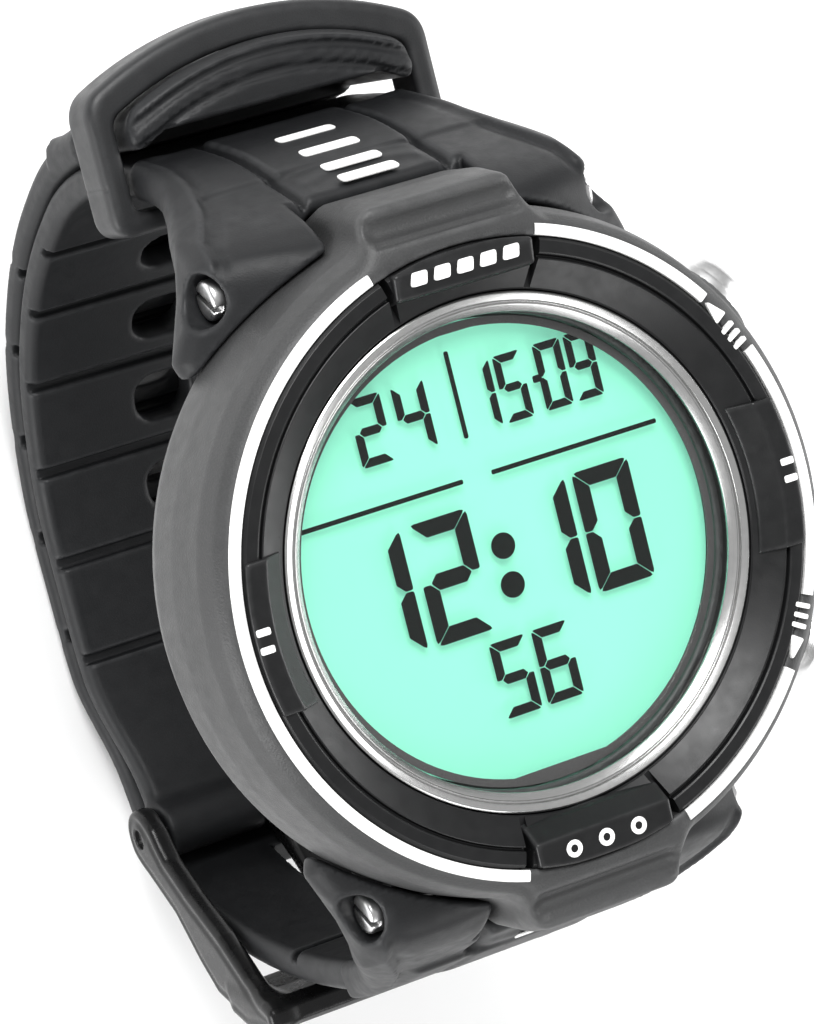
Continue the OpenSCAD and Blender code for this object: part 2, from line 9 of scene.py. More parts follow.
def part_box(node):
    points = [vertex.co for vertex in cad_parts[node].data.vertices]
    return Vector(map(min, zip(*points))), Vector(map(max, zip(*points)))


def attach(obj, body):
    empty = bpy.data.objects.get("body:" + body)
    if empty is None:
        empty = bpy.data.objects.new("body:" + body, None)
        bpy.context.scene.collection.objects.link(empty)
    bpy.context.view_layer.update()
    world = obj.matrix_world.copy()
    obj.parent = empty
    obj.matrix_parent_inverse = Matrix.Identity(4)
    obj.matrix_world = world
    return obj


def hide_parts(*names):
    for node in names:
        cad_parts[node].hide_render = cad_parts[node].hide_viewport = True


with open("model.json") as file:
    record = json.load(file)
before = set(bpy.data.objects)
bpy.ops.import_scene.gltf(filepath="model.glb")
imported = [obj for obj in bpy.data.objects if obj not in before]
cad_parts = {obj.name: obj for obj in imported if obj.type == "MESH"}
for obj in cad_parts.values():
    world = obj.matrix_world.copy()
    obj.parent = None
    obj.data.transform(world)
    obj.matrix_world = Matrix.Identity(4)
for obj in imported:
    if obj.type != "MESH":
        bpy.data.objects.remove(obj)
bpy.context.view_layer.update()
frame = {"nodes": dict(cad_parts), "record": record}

MM = 0.001


# ---- Sizes, in millimetres. What the frame holds comes from the frame. ----

def box_mm(node):
    """The lowest and highest corner of a CAD node, in millimetres."""
    low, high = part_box(node)
    return np.array(low) / MM, np.array(high) / MM


CASE_R = box_mm("case_body")[1][0]
RIM_Z = 13.2
BEZEL_TOP = 13.5
WINDOW_R = 16.56
RING_OUT_R = box_mm("glass_retainer")[1][0]
FLOOR_Z = box_mm("lower_strap")[0][2]
STRAP_HALF_W = 11.5
NECK_HALF_W = 10.45
STRAP_MID = -1.25
STRAP_HALF_T = 1.2
STRAP_EDGE_R = 0.9
LUG_Y = 22.0
LUG_Z = 4.5
BUTTON_DEG = 31.0
BUTTON_Z = 6.9
SCREW_HEAD_R = 1.45
PIN_END = box_mm("strap_screws")[1][0]
KEEPER_ARCH_Y = 11.9
KEEPER_OUT_R = 28.3
KEEPER_IN_R = 25.9
TAIL_ARCH_Y = 13.55
TAIL_ARCH_R = 22.8
TAIL_ROOT_Y = 32.95
BUCKLE_DEG = 50.0
PIN_HOLE_R = 0.79
KEEPER_LOW, KEEPER_HIGH = box_mm("keeper_loop")
BUCKLE_LOW, BUCKLE_HIGH = box_mm("buckle_frame")
JOINTS = {joint["name"]: joint for joint in frame["record"]["behaviour"]["joints"]}
HINGE = np.array(JOINTS["buckle_swing"]["pos_m"]) / MM

LOOP = [(31.7, -22), (30.4, -27.5), (27.9, -32.6), (25, -37), (21.3, -41), (16.8, -44.5), (11.4, -47),
        (5, -48.65), (-2, -48.75), (-8, -48.5), (-13.2, -47.3)]
UPPER_KNOTS = [(30.1, -5.5), (31.3, -11.6), (31.7, -17)] + LOOP + [(-17.6, -45.6), (-21.2, -44.2)]
LOWER_KNOTS = [(-27.7, -5.5), (-28.9, -12), (-29.3, -20), (-28.9, -27), (-27.9, -33), (-26.4, -38),
               (-24.4, -42.3), (-22.2, -44.7), (-18.2, -46.1)] + LOOP[::-1] + [(32.05, -19.5)]
SHOULDER_OUTER = [(16.5, 10), (20.5, 9.8), (23, 8.9), (25.1, 6.6), (26.6, 3.8), (28.1, 0), (30.1, -5.5),
                  (31.4, -11.6)]
SHOULDER_INNER = [(29, -11.6), (28, -7.5), (26.3, -3.8), (23.6, -0.6), (20.5, 1.2), (16.5, 2)]
SHOULDER_PLAN = [(11.5, 33), (11.5, 31), (12, 29.8), (13, 28.4), (15, 26.3), (16.2, 22.4), (18.2, 18.3),
                 (17.4, 16.4)]
SHOULDER_FRONT = [(11.5, -12), (11.6, -9.5), (12.3, -6), (13.4, -3), (15.4, 1), (18.6, 2.8), (18.6, 12)]


# How far the first and last piece of a path run on, in their own lengths
OVERRUN = 9


# ---- Curves and outlines ----

def spline(knots, steps=12):
    """A smooth curve through every knot."""
    k = np.array([knots[0], *knots, knots[-1]], float)
    t = (np.arange(steps) / steps)[:, None]
    curve = [0.5 * (2 * b + (c - a) * t + (2 * a - 5 * b + 4 * c - d) * t**2 + (3 * b - a - 3 * c + d) * t**3)
             for a, b, c, d in zip(k, k[1:], k[2:], k[3:])]
    return np.vstack(curve + [k[-1:]])


def outline_distance(u, v, corners):
    """Signed distance to a closed outline, negative inside."""
    u, v = np.broadcast_arrays(u, v)
    nearest = np.full(u.shape, 1e9)
    inside = np.zeros(u.shape, bool)
    for (au, av), (bu, bv) in zip(corners, np.roll(corners, -1, axis=0)):
        eu, ev = bu - au, bv - av
        t = np.clip(((u - au) * eu + (v - av) * ev) / (eu * eu + ev * ev), 0, 1)
        nearest = np.minimum(nearest, (u - au - t * eu)**2 + (v - av - t * ev)**2)
        if ev:
            inside ^= ((av > v) != (bv > v)) & (u < au + (v - av) * eu / ev)
    return np.where(inside, -1, 1) * np.sqrt(nearest)


def path_place(u, v, path):
    """How far along a path a point lies, and how far to its left. The path runs on past both ends."""
    u, v = np.broadcast_arrays(u, v)
    nearest = np.full(u.shape, 1e9)
    along = np.zeros(u.shape)
    side = np.zeros(u.shape)
    done = 0.0
    last = len(path) - 2
    for i, (a, b) in enumerate(zip(path, path[1:])):
        e = b - a
        length = math.hypot(*e)
        first_t = 0 if i else -OVERRUN
        last_t = 1 if i < last else OVERRUN
        t = np.clip(((u - a[0]) * e[0] + (v - a[1]) * e[1]) / length**2, first_t, last_t)
        gap = (u - a[0] - t * e[0])**2 + (v - a[1] - t * e[1])**2
        closer = gap < nearest
        nearest = np.where(closer, gap, nearest)
        along = np.where(closer, done + t * length, along)
        side = np.where(closer, e[0] * (v - a[1]) - e[1] * (u - a[0]), side)
        done += length
    return along, np.sign(side) * np.sqrt(nearest)


class Table:
    """Values of a slow function of two lengths, worked out once on a fine grid and looked up between."""

    def __init__(self, function, low, high, step=0.1):
        self.low, self.step = low, step
        count = [int((h - l) / step) + 2 for l, h in zip(low, high)]
        u = (low[0] + step * np.arange(count[0]))[:, None]
        v = (low[1] + step * np.arange(count[1]))[None, :]
        values = function(u, v)
        values = values if isinstance(values, tuple) else (values,)
        self.layers = [np.asarray(a, np.float32) for a in values]
        self.count = count

    def __call__(self, u, v):
        fu = np.clip((u - self.low[0]) / self.step, 0, self.count[0] - 1.001)
        fv = np.clip((v - self.low[1]) / self.step, 0, self.count[1] - 1.001)
        iu, iv = fu.astype(np.int32), fv.astype(np.int32)
        wu, wv = (fu - iu).astype(np.float32), (fv - iv).astype(np.float32)
        looked = [(a[iu, iv] * (1 - wv) + a[iu, iv + 1] * wv) * (1 - wu)
                  + (a[iu + 1, iv] * (1 - wv) + a[iu + 1, iv + 1] * wv) * wu for a in self.layers]
        return looked[0] if len(looked) == 1 else looked


def outline_table(corners, step=0.1, margin=4.0):
    """A closed outline's signed distance, as a table."""
    corners = np.array(corners, float)
    return Table(lambda u, v: outline_distance(u, v, corners),
                 corners.min(0) - margin, corners.max(0) + margin, step)


def path_table(path, margin=5.0):
    """Where points lie along a path and beside it, as a table."""
    return Table(lambda u, v: path_place(u, v, path), path.min(0) - margin, path.max(0) + margin, 0.2)


# ---- Solid fields: signed distances in millimetres, negative inside ----

def join(a, b, k):
    """The union of two fields, with a fillet of about k."""
    h = np.maximum(k - np.abs(a - b), 0)
    return np.minimum(a, b) - h * h / (4 * k)


def meet(a, b, k):
    """What two fields share, with rounded edges."""
    return -join(-a, -b, k)


def carve(a, b, k):
    """The first field without the second, with rounded edges."""
    return meet(a, -b, k)


def rounded_box(u, v, half_u, half_v, radius):
    """A rectangle round the origin with round corners."""
    qu, qv = np.abs(u) - half_u + radius, np.abs(v) - half_v + radius
    return np.hypot(np.maximum(qu, 0), np.maximum(qv, 0)) + np.minimum(np.maximum(qu, qv), 0) - radius


def block(x, y, z, low, high):
    """A plain box between two corners."""
    sides = [np.abs(c - (l + h) / 2) - (h - l) / 2 for c, l, h in zip((x, y, z), low, high)]
    return np.maximum(np.maximum(sides[0], sides[1]), sides[2])


def bump_at(value, centre, width):
    """One smooth bump of height 1."""
    return np.exp(-((value - centre) / width)**2)


# ---- Meshes ----

CORNERS = [(i, j, k) for i in (0, 1) for j in (0, 1) for k in (0, 1)]
EDGES = [(a, b) for a in CORNERS for b in CORNERS
         if sum(b) - sum(a) == 1 and all(q >= p for p, q in zip(a, b))]
CURVATURE_REACH = 0.35


def slope(field, p, h):
    """A field's gradient at each point, and its sum over the six neighbours."""
    neighbours = [(field(*(p + o).T), field(*(p - o).T)) for o in np.eye(3) * h]
    gradient = np.stack([(a - b) / (2 * h) for a, b in neighbours], 1)
    return gradient, sum(a + b for a, b in neighbours)


def net(field, low, high, step):
    """Meshes a field's surface with quads. Returns points, faces, normals and the surface's curvature."""
    axes = [np.arange(l - 2 * step, h + 3 * step, step) for l, h in zip(low, high)]
    shape = tuple(len(a) for a in axes)
    grid = field(axes[0][:, None, None], axes[1][None, :, None], axes[2][None, None, :])
    grid = np.array(np.broadcast_to(grid, shape), np.float32)
    for axis in range(3):
        ends = [slice(None)] * 3
        ends[axis] = [0, -1]
        grid[tuple(ends)] = np.maximum(grid[tuple(ends)], 0.5 * step)
    inside = grid < 0
    cells = tuple(n - 1 for n in shape)
    filled = sum(inside[i:i + cells[0], j:j + cells[1], k:k + cells[2]].astype(np.int8)
                 for i, j, k in CORNERS)
    place = np.argwhere((filled > 0) & (filled < 8))
    number = np.full(cells, -1, np.int32)
    number[tuple(place.T)] = np.arange(len(place))
    total = np.zeros((len(place), 3))
    hits = np.zeros(len(place))
    for a, b in EDGES:
        va, vb = grid[tuple((place + a).T)], grid[tuple((place + b).T)]
        crossed = (va < 0) != (vb < 0)
        t = np.where(crossed, va / np.where(crossed, va - vb, 1), 0)
        total += crossed[:, None] * (np.array(a) + t[:, None] * (np.array(b) - np.array(a)))
        hits += crossed
    points = np.array([a[0] for a in axes]) + step * (place + total / hits[:, None])
    faces = []
    for axis in range(3):
        u, v = (axis + 1) % 3, (axis + 2) % 3
        first = np.take(inside, np.arange(shape[axis] - 1), axis)
        change = np.argwhere(first != np.take(inside, np.arange(1, shape[axis]), axis))
        start = first[tuple(change.T)]
        du, dv = np.eye(3, dtype=int)[u], np.eye(3, dtype=int)[v]
        ring = [number[tuple((change + o).T)] for o in (-du - dv, -dv, 0 * du, -du)]
        quads = np.stack(ring, 1)
        faces.append(np.where(start[:, None], quads, quads[:, ::-1]))
    for _ in range(3):
        value = field(*points.T)
        gradient, _ = slope(field, points, 0.25 * step)
        size = np.maximum((gradient**2).sum(1), 0.25)
        points = points - (np.clip(value, -step, step) / size)[:, None] * gradient
    gradient, _ = slope(field, points, 0.5 * step)
    normals = gradient / np.maximum(np.linalg.norm(gradient, axis=1), 1e-6)[:, None]
    _, around = slope(field, points, CURVATURE_REACH)
    curvature = (around - 6 * field(*points.T)) / CURVATURE_REACH**2
    return points, np.vstack(faces), normals, curvature


def add_mesh(name, points, faces, material, body, replaces=(), normals=None, edge=None, sharp_deg=None):
    """Makes a piece from points in millimetres, and ties it to its body."""
    sizes = [len(f) for f in faces] if isinstance(faces, list) else np.full(len(faces), faces.shape[1])
    corners = np.concatenate(faces) if isinstance(faces, list) else faces.ravel()
    mesh = bpy.data.meshes.new(name)
    mesh.vertices.add(len(points))
    mesh.vertices.foreach_set("co", (np.asarray(points) * MM).astype(np.float32).ravel())
    mesh.loops.add(len(corners))
    mesh.loops.foreach_set("vertex_index", corners.astype(np.int32))
    mesh.polygons.add(len(sizes))
    mesh.polygons.foreach_set("loop_start", np.concatenate([[0], np.cumsum(sizes)[:-1]]).astype(np.int32))
    mesh.update(calc_edges=True)
    mesh.shade_smooth()
    if sharp_deg:
        mesh.set_sharp_from_angle(angle=math.radians(sharp_deg))
    if normals is not None:
        mesh.normals_split_custom_set_from_vertices(normals)
    if edge is not None:
        mesh.attributes.new("edge", "FLOAT", "POINT").data.foreach_set("value", edge.astype(np.float32))
    mesh.materials.append(material)
    piece = bpy.data.objects.new(name, mesh)
    bpy.context.scene.collection.objects.link(piece)
    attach(piece, body)
    if replaces:
        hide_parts(*replaces)
    return piece


def add_field(name, field, low, high, step, material, body, replaces=()):
    """Makes a piece from a field, meshed between two corners."""
    points, faces, normals, curvature = net(field, low, high, step)
    return add_mesh(name, points, faces, material, body, replaces, normals, np.clip(curvature, -4, 4))


def fillet(corners, radius, steps=4):
    """A closed outline with every corner rounded."""
    p = np.array(corners, float)
    result = []
    for before, at, after in zip(np.roll(p, 1, axis=0), p, np.roll(p, -1, axis=0)):
        a, b = before - at, after - at
        la, lb = np.linalg.norm(a), np.linalg.norm(b)
        half = math.acos(np.clip(a @ b / (la * lb), -1, 1)) / 2
        back = min(radius / math.tan(half), 0.45 * la, 0.45 * lb)
        start, end = at + a / la * back, at + b / lb * back
        for t in np.linspace(0, 1, steps + 1):
            result.append((1 - t)**2 * start + 2 * t * (1 - t) * at + t**2 * end)
    return np.array(result)


def lathe(profile, start=0.0, sweep=360.0, segments=256):
    """A closed profile of radius and height, turned round Z, with flat ends where it isn't a full turn."""
    profile = np.asarray(profile, float)
    n = len(profile)
    whole = sweep >= 360
    count = segments if whole else max(int(segments * sweep / 360), 2) + 1
    angles = np.radians(start + sweep * np.arange(count) / (count if whole else count - 1))
    points = np.array([(r * math.cos(a), r * math.sin(a), z) for a in angles for r, z in profile])
    rings = count if whole else count - 1
    faces = [(i * n + j, (i + 1) % count * n + j, (i + 1) % count * n + (j + 1) % n, i * n + (j + 1) % n)
             for i in range(rings) for j in range(n)]
    area = sum(a[0] * b[1] - b[0] * a[1] for a, b in zip(profile, np.roll(profile, -1, axis=0)))
    if area < 0:
        faces = [f[::-1] for f in faces]
    if not whole:
        first = list(range(n))
        last = [(count - 1) * n + j for j in range(n)]
        faces += [first if area > 0 else first[::-1], last[::-1] if area > 0 else last]
    return points, [np.array(f) for f in faces]


def plate(outline, low, high):
    """A flat outline given a thickness."""
    p = np.asarray(outline, float)
    n = len(p)
    points = np.vstack([np.column_stack([p, np.full(n, low)]), np.column_stack([p, np.full(n, high)])])
    faces = [np.arange(n)[::-1], np.arange(n) + n]
    faces += [np.array([j, (j + 1) % n, (j + 1) % n + n, j + n]) for j in range(n)]
    return points, faces


def gather(parts):
    """Several meshes as one."""
    points, faces, done = [], [], 0
    for p, f in parts:
        points.append(p)
        faces += [np.asarray(q) + done for q in f]
        done += len(p)
    return np.vstack(points), faces


def placed(part, matrix):
    """A mesh moved by a matrix."""
    points, faces = part
    m = np.array(matrix)
    return points @ m[:3, :3].T + m[:3, 3], faces


# ---- Materials ----

def new_material(name):
    """A new material, its nodes and links, and its shader."""
    material = bpy.data.materials.new(name)
    material.use_nodes = True
    nodes = material.node_tree.nodes
    return material, nodes, material.node_tree.links, nodes["Principled BSDF"]


def noise(nodes, links, scale, detail=2.0, stretch=None):
    """Noise over the object's own coordinates, with features about 1 / scale metres across."""
    coordinates = nodes.new("ShaderNodeTexCoord").outputs["Object"]
    if stretch:
        mapping = nodes.new("ShaderNodeMapping")
        mapping.inputs["Scale"].default_value = stretch
        links.new(coordinates, mapping.inputs["Vector"])
        coordinates = mapping.outputs["Vector"]
    texture = nodes.new("ShaderNodeTexNoise")
    texture.inputs["Scale"].default_value = scale
    texture.inputs["Detail"].default_value = detail
    links.new(coordinates, texture.inputs["Vector"])
    return texture.outputs["Fac"]


def ramp(nodes, links, value, stops):
    """A value turned into a colour, from (position, colour) stops."""
    node = nodes.new("ShaderNodeValToRGB")
    elements = node.color_ramp.elements
    while len(elements) < len(stops):
        elements.new(0.5)
    for element, (position, colour) in zip(elements, stops):
        element.position = position
        element.color = (*colour, 1)
    links.new(value, node.inputs["Fac"])
    return node.outputs["Color"]


def remap(nodes, links, value, low, high, to_low, to_high):
    """A value carried from one range to another, and kept inside it."""
    node = nodes.new("ShaderNodeMapRange")
    for key, number in (("From Min", low), ("From Max", high), ("To Min", to_low), ("To Max", to_high)):
        node.inputs[key].default_value = number
    links.new(value, node.inputs["Value"])
    return node.outputs["Result"]


def mix_colour(nodes, links, factor, a, b):
    """A blend of two colours, each a plain colour or another node's."""
    node = nodes.new("ShaderNodeMix")
    node.data_type = "RGBA"
    links.new(factor, node.inputs["Factor"])
    for key, colour in ((6, a), (7, b)):
        if isinstance(colour, tuple):
            node.inputs[key].default_value = (*colour, 1)
        else:
            links.new(colour, node.inputs[key])
    return node.outputs[2]


def add_bump(nodes, links, shader, heights):
    """Stacks height textures, given as (value, distance in metres), into the shader's normal."""
    normal = None
    for value, distance in heights:
        bump = nodes.new("ShaderNodeBump")
        bump.inputs["Strength"].default_value = 1.0
        bump.inputs["Distance"].default_value = distance
        links.new(value, bump.inputs["Height"])
        if normal:
            links.new(normal, bump.inputs["Normal"])
        normal = bump.outputs["Normal"]
    links.new(normal, shader.inputs["Normal"])


def moulded(name, colour, rough, grain_mm=0.16, grain_depth=0.012, worn=0.35, specular=0.5, coat=0.0):
    """Moulded plastic or rubber: fine grain, faint mottling and lighter, scuffed edges."""
    material, nodes, links, shader = new_material(name)
    base = np.array(colour)
    grain = noise(nodes, links, 1000 / grain_mm, 3.0)
    cloud = noise(nodes, links, 160.0, 3.0)
    tint = ramp(nodes, links, cloud, [(0.3, tuple(base * 0.9)), (0.7, tuple(base * 1.12))])
    speckle = ramp(nodes, links, grain, [(0.35, tuple(base * 0.82)), (0.7, tuple(base * 1.25))])
    mottled = mix_colour(nodes, links, remap(nodes, links, cloud, 0, 1, 0.35, 0.65), tint, speckle)
    edge = nodes.new("ShaderNodeAttribute")
    edge.attribute_name = "edge"
    scuff = noise(nodes, links, 900.0, 4.0)
    wear = nodes.new("ShaderNodeMath")
    wear.operation = "MULTIPLY"
    links.new(remap(nodes, links, edge.outputs["Fac"], 0.6, 3.2, 0.0, worn), wear.inputs[0])
    links.new(remap(nodes, links, scuff, 0.3, 0.6, 0.4, 1.0), wear.inputs[1])
    coloured = mix_colour(nodes, links, wear.outputs[0], mottled, tuple(base * 2.6 + 0.03))
    links.new(coloured, shader.inputs["Base Color"])
    links.new(remap(nodes, links, scuff, 0.25, 0.75, rough - 0.06, rough + 0.08), shader.inputs["Roughness"])
    shader.inputs["Specular IOR Level"].default_value = specular
    shader.inputs["Coat Weight"].default_value = coat
    shader.inputs["Coat Roughness"].default_value = 0.12
    add_bump(nodes, links, shader, [(grain, grain_depth * MM), (cloud, 0.03 * MM)])
    return material


def metal(name, colour, rough, grain=(1.0, 1.0, 1.0), scale=2500.0, depth=0.003):
    """Machined or brushed metal. Its grain can be squeezed along one axis."""
    material, nodes, links, shader = new_material(name)
    base = np.array(colour)
    lines = noise(nodes, links, scale, 4.0, grain)
    smudge = noise(nodes, links, 300.0, 2.0)
    links.new(ramp(nodes, links, lines, [(0.3, tuple(base * 0.86)), (0.7, tuple(base))]),
              shader.inputs["Base Color"])
    links.new(remap(nodes, links, smudge, 0.3, 0.7, rough - 0.05, rough + 0.08), shader.inputs["Roughness"])
    shader.inputs["Metallic"].default_value = 1.0
    add_bump(nodes, links, shader, [(lines, depth * MM)])
    return material


def ring_metal(name, colour, rough, depth=0.004):
    """Metal turned on a lathe: its grain runs round Z."""
    material, nodes, links, shader = new_material(name)
    base = np.array(colour)
    split = nodes.new("ShaderNodeSeparateXYZ")
    links.new(nodes.new("ShaderNodeTexCoord").outputs["Object"], split.inputs[0])
    squares = nodes.new("ShaderNodeCombineXYZ")
    links.new(split.outputs["X"], squares.inputs["X"])
    links.new(split.outputs["Y"], squares.inputs["Y"])
    radius = nodes.new("ShaderNodeVectorMath")
    radius.operation = "LENGTH"
    links.new(squares.outputs[0], radius.inputs[0])
    across = nodes.new("ShaderNodeCombineXYZ")
    links.new(radius.outputs["Value"], across.inputs["X"])
    links.new(split.outputs["Z"], across.inputs["Z"])
    lines = nodes.new("ShaderNodeTexNoise")
    lines.inputs["Scale"].default_value = 7000.0
    lines.inputs["Detail"].default_value = 3.0
    links.new(across.outputs[0], lines.inputs["Vector"])
    flecks = noise(nodes, links, 2500.0, 2.0)
    tone = mix_colour(nodes, links, flecks, tuple(base * 0.92), tuple(base))
    links.new(mix_colour(nodes, links, remap(nodes, links, lines.outputs["Fac"], 0.3, 0.7, 0.0, 0.5), tone,
                         tuple(base * 0.8)), shader.inputs["Base Color"])
    links.new(remap(nodes, links, flecks, 0.3, 0.7, rough - 0.015, rough + 0.02), shader.inputs["Roughness"])
    shader.inputs["Metallic"].default_value = 1.0
    add_bump(nodes, links, shader, [(lines.outputs["Fac"], depth * MM)])
    return material


def clear(name, tint, reflect=0.9):
    """Clear glass: light goes straight through, and a sharp reflection grows as the view grazes it."""
    material, nodes, links, shader = new_material(name)
    nodes.remove(shader)
    output = nodes["Material Output"]
    through = nodes.new("ShaderNodeBsdfTransparent")
    through.inputs["Color"].default_value = (*tint, 1)
    gloss = nodes.new("ShaderNodeBsdfGlossy")
    gloss.inputs["Roughness"].default_value = 0.02
    gloss.inputs["Color"].default_value = (reflect, reflect, reflect, 1)
    facing = nodes.new("ShaderNodeLayerWeight")
    facing.inputs["Blend"].default_value = 0.5
    grazing = nodes.new("ShaderNodeMath")
    grazing.operation = "POWER"
    grazing.inputs[1].default_value = 5.0
    links.new(facing.outputs["Facing"], grazing.inputs[0])
    smear = noise(nodes, links, 220.0, 3.0)
    bump = nodes.new("ShaderNodeBump")
    bump.inputs["Distance"].default_value = 0.0005 * MM
    links.new(smear, bump.inputs["Height"])
    links.new(bump.outputs["Normal"], gloss.inputs["Normal"])
    mix = nodes.new("ShaderNodeMixShader")
    links.new(remap(nodes, links, grazing.outputs[0], 0, 1, 0.042, 1), mix.inputs[0])
    links.new(through.outputs[0], mix.inputs[1])
    links.new(gloss.outputs[0], mix.inputs[2])
    links.new(mix.outputs[0], output.inputs["Surface"])
    return material


def printed(name, colour, rough=0.45):
    """Ink or an inlay: nearly even, with faint specks and a slightly uneven surface."""
    return moulded(name, colour, rough, grain_mm=0.12, grain_depth=0.006, worn=0.0)


def reflector():
    """The display's teal reflector: a fine pearly grain, and a faint painted glow of teal light that keeps it
    evenly bright, though it is no lamp.
    """
    material, nodes, links, shader = new_material("reflector_film_painted_glow")
    grain = noise(nodes, links, 9000.0, 2.0)
    wash = noise(nodes, links, 60.0, 1.0)
    teal = ramp(nodes, links, wash, [(0.3, (0.235, 0.7, 0.515)), (0.7, (0.275, 0.77, 0.575))])
    fine = ramp(nodes, links, grain, [(0.3, (0.245, 0.74, 0.535)), (0.7, (0.265, 0.78, 0.56))])
    colour = mix_colour(nodes, links, remap(nodes, links, grain, 0, 1, 0.4, 0.6), teal, fine)
    links.new(colour, shader.inputs["Base Color"])
    # Painted glow: the reflector's teal also feeds its emission, so it gives off light of its own
    links.new(colour, shader.inputs["Emission Color"])
    shader.inputs["Emission Strength"].default_value = 0.7
    links.new(remap(nodes, links, grain, 0.3, 0.7, 0.5, 0.62), shader.inputs["Roughness"])
    add_bump(nodes, links, shader, [(grain, 0.002 * MM)])
    return material


MATERIAL = {
    "case_polymer": moulded("case_polymer", (0.037, 0.0375, 0.038), 0.46, 0.14, 0.03, 0.4, 0.4),
    "bezel_polymer": moulded("bezel_polymer", (0.007, 0.0072, 0.0076), 0.33, 0.1, 0.005, 0.3, 0.32),
    "white_print": printed("white_print", (0.86, 0.86, 0.85)),
    "white_ring": printed("white_ring", (0.88, 0.88, 0.87), 0.4),
    "steel_ring": ring_metal("steel_ring", (0.62, 0.62, 0.615), 0.25, 0.0007),
    "steel": metal("steel", (0.7, 0.7, 0.7), 0.28, (1, 1, 1)),
    "spring_steel": metal("spring_steel", (0.5, 0.5, 0.5), 0.3, (1, 1, 6)),
    "crystal_glass": clear("crystal_glass", (0.985, 0.995, 0.99), 0.45),
    "lcd_glass": clear("lcd_glass", (0.985, 0.995, 0.99), 0.12),
    # The display's reflector, with a painted teal glow
    "lcd_backlight": reflector(),
    "lcd_dark": moulded("lcd_dark", (0.004, 0.0055, 0.005), 0.5, 0.1, 0.002, 0.0, 0.1),
    "mask_ink": moulded("mask_ink", (0.085, 0.08, 0.082), 0.5, 0.15, 0.004, 0.0, 0.2),
    "diffuser": printed("diffuser", (0.75, 0.8, 0.76), 0.25),
    "frame_plastic": moulded("frame_plastic", (0.55, 0.55, 0.52), 0.5, 0.2, 0.01, 0.0),
    "conductive_rubber": moulded("conductive_rubber", (0.08, 0.08, 0.09), 0.6, 0.1, 0.02, 0.0),
    "board": moulded("board", (0.01, 0.12, 0.045), 0.3, 0.4, 0.01, 0.0),
    "chip": moulded("chip", (0.015, 0.015, 0.017), 0.55, 0.08, 0.01, 0.0),
    "brass": metal("brass", (0.75, 0.55, 0.2), 0.3),
    "nickel": metal("nickel", (0.7, 0.69, 0.66), 0.3, (1, 12, 1)),
    "seal_rubber": moulded("seal_rubber", (0.012, 0.012, 0.012), 0.45, 0.2, 0.005, 0.0),
    "back_polymer": moulded("back_polymer", (0.03, 0.03, 0.032), 0.42, 0.2, 0.015, 0.3),
    "strap_rubber": moulded("strap_rubber", (0.0105, 0.011, 0.012), 0.47, 0.13, 0.012, 0.35, 0.26),
    "keeper_rubber": moulded("keeper_rubber", (0.018, 0.0185, 0.0195), 0.42, 0.13, 0.01, 0.35, 0.35),
    "buckle_plastic": moulded("buckle_plastic", (0.006, 0.006, 0.0063), 0.27, 0.12, 0.008, 0.2, 0.3),
}
SLOT_OF = {part["node"]: part["material_slot"] for part in frame["record"]["subparts"]}
for node, thing in frame["nodes"].items():
    thing.data.materials.clear()
    thing.data.materials.append(MATERIAL[SLOT_OF[node]])


def add_solid(name, part, slot, body="case", replaces=(), sharp_deg=35):
    return add_mesh(name, part[0], part[1], MATERIAL[slot], body, replaces, sharp_deg=sharp_deg)


def add_moulding(name, field, low, high, step, slot, body="case", replaces=()):
    return add_field(name, field, low, high, step, MATERIAL[slot], body, replaces)


# ---- Case ----

CASE_CORNERS = [(15, 0), (20.2, 0), (20.9, 0.3), (23.3, 1.9), (CASE_R, 4.4), (CASE_R, 7.4), (23.85, 11),
                (23.35, 12.4), (22.6, RIM_Z), (15, RIM_Z)]
BUMPER_CORNERS = [(18.6, 2), (18.6, 13.15), (22.7, 13.15), (25.6, 12.2), (26.15, 9.2), (26.15, 4.6),
                  (25.2, 2), (22.5, 0.9), (19.5, 0.9)]
CASE_PROFILE = outline_table(fillet(CASE_CORNERS, 0.9))
BUMPER_PROFILE = outline_table(fillet(BUMPER_CORNERS, 0.8))
BUMPER_HALF_W = 6.75


def bumper_field(x, y, z):
    """The guards at 12 and 6 o'clock."""
    out = np.abs(y)
    return meet(BUMPER_PROFILE(out, z), np.abs(x) - BUMPER_HALF_W + 0.25 * (out - 22), 1.2)


def case_field(x, y, z):
    """The case's one moulding: its drum, guards, hollows and button seats."""
    r = np.hypot(x, y)
    out = np.abs(y)
    body = join(CASE_PROFILE(r, z), bumper_field(x, y, z), 1.0)
    valley = np.hypot(rounded_box(x, out - 24.0, 5.2, 0.1, 0.1), (z - 13.15 + 0.22 * (out - 22)) * 0.9) - 0.62
    body = carve(body, valley, 0.7)
    ledge = meet(np.abs(out - 23.15) - 0.25, 12.95 - z, 0.2)
    body = carve(body, meet(ledge, np.abs(x) - 5.6, 0.4), 0.3)
    cavity = np.minimum(np.maximum(r - 17.2, z - 9.3), r - 16.45)
    seat = np.minimum(np.maximum(r - 18, 9.9 - z), np.maximum(r - 21.65, 10.4 - z))
    back_seat = np.maximum(r - 20, z - 1)
    for hollow in (cavity, seat, back_seat):
        body = carve(body, hollow, 0.3)
    c, s = math.cos(math.radians(BUTTON_DEG)), math.sin(math.radians(BUTTON_DEG))
    for side in (1, -1):
        along, across = x * c + y * side * s, y * c - x * side * s
        distance = np.hypot(across, z - BUTTON_Z)
        guard = np.maximum(np.abs(along - 21.9) - 2.2, distance - 4.4)
        body = join(body, meet(guard, r - 24.15, 0.4), 0.8)
        body = carve(body, np.maximum(distance - 3.35, 21 - along), 0.4)
        body = carve(body, np.maximum(distance - 1.65, np.abs(along - 19.5) - 4.5), 0.1)
    return body


add_moulding("case_shell", case_field, (-24.3, -26.4, -0.2), (24.3, 26.4, 13.4), 0.3, "case_polymer",
             replaces=("case_body",))


# ---- Bezel, rings and marks ----

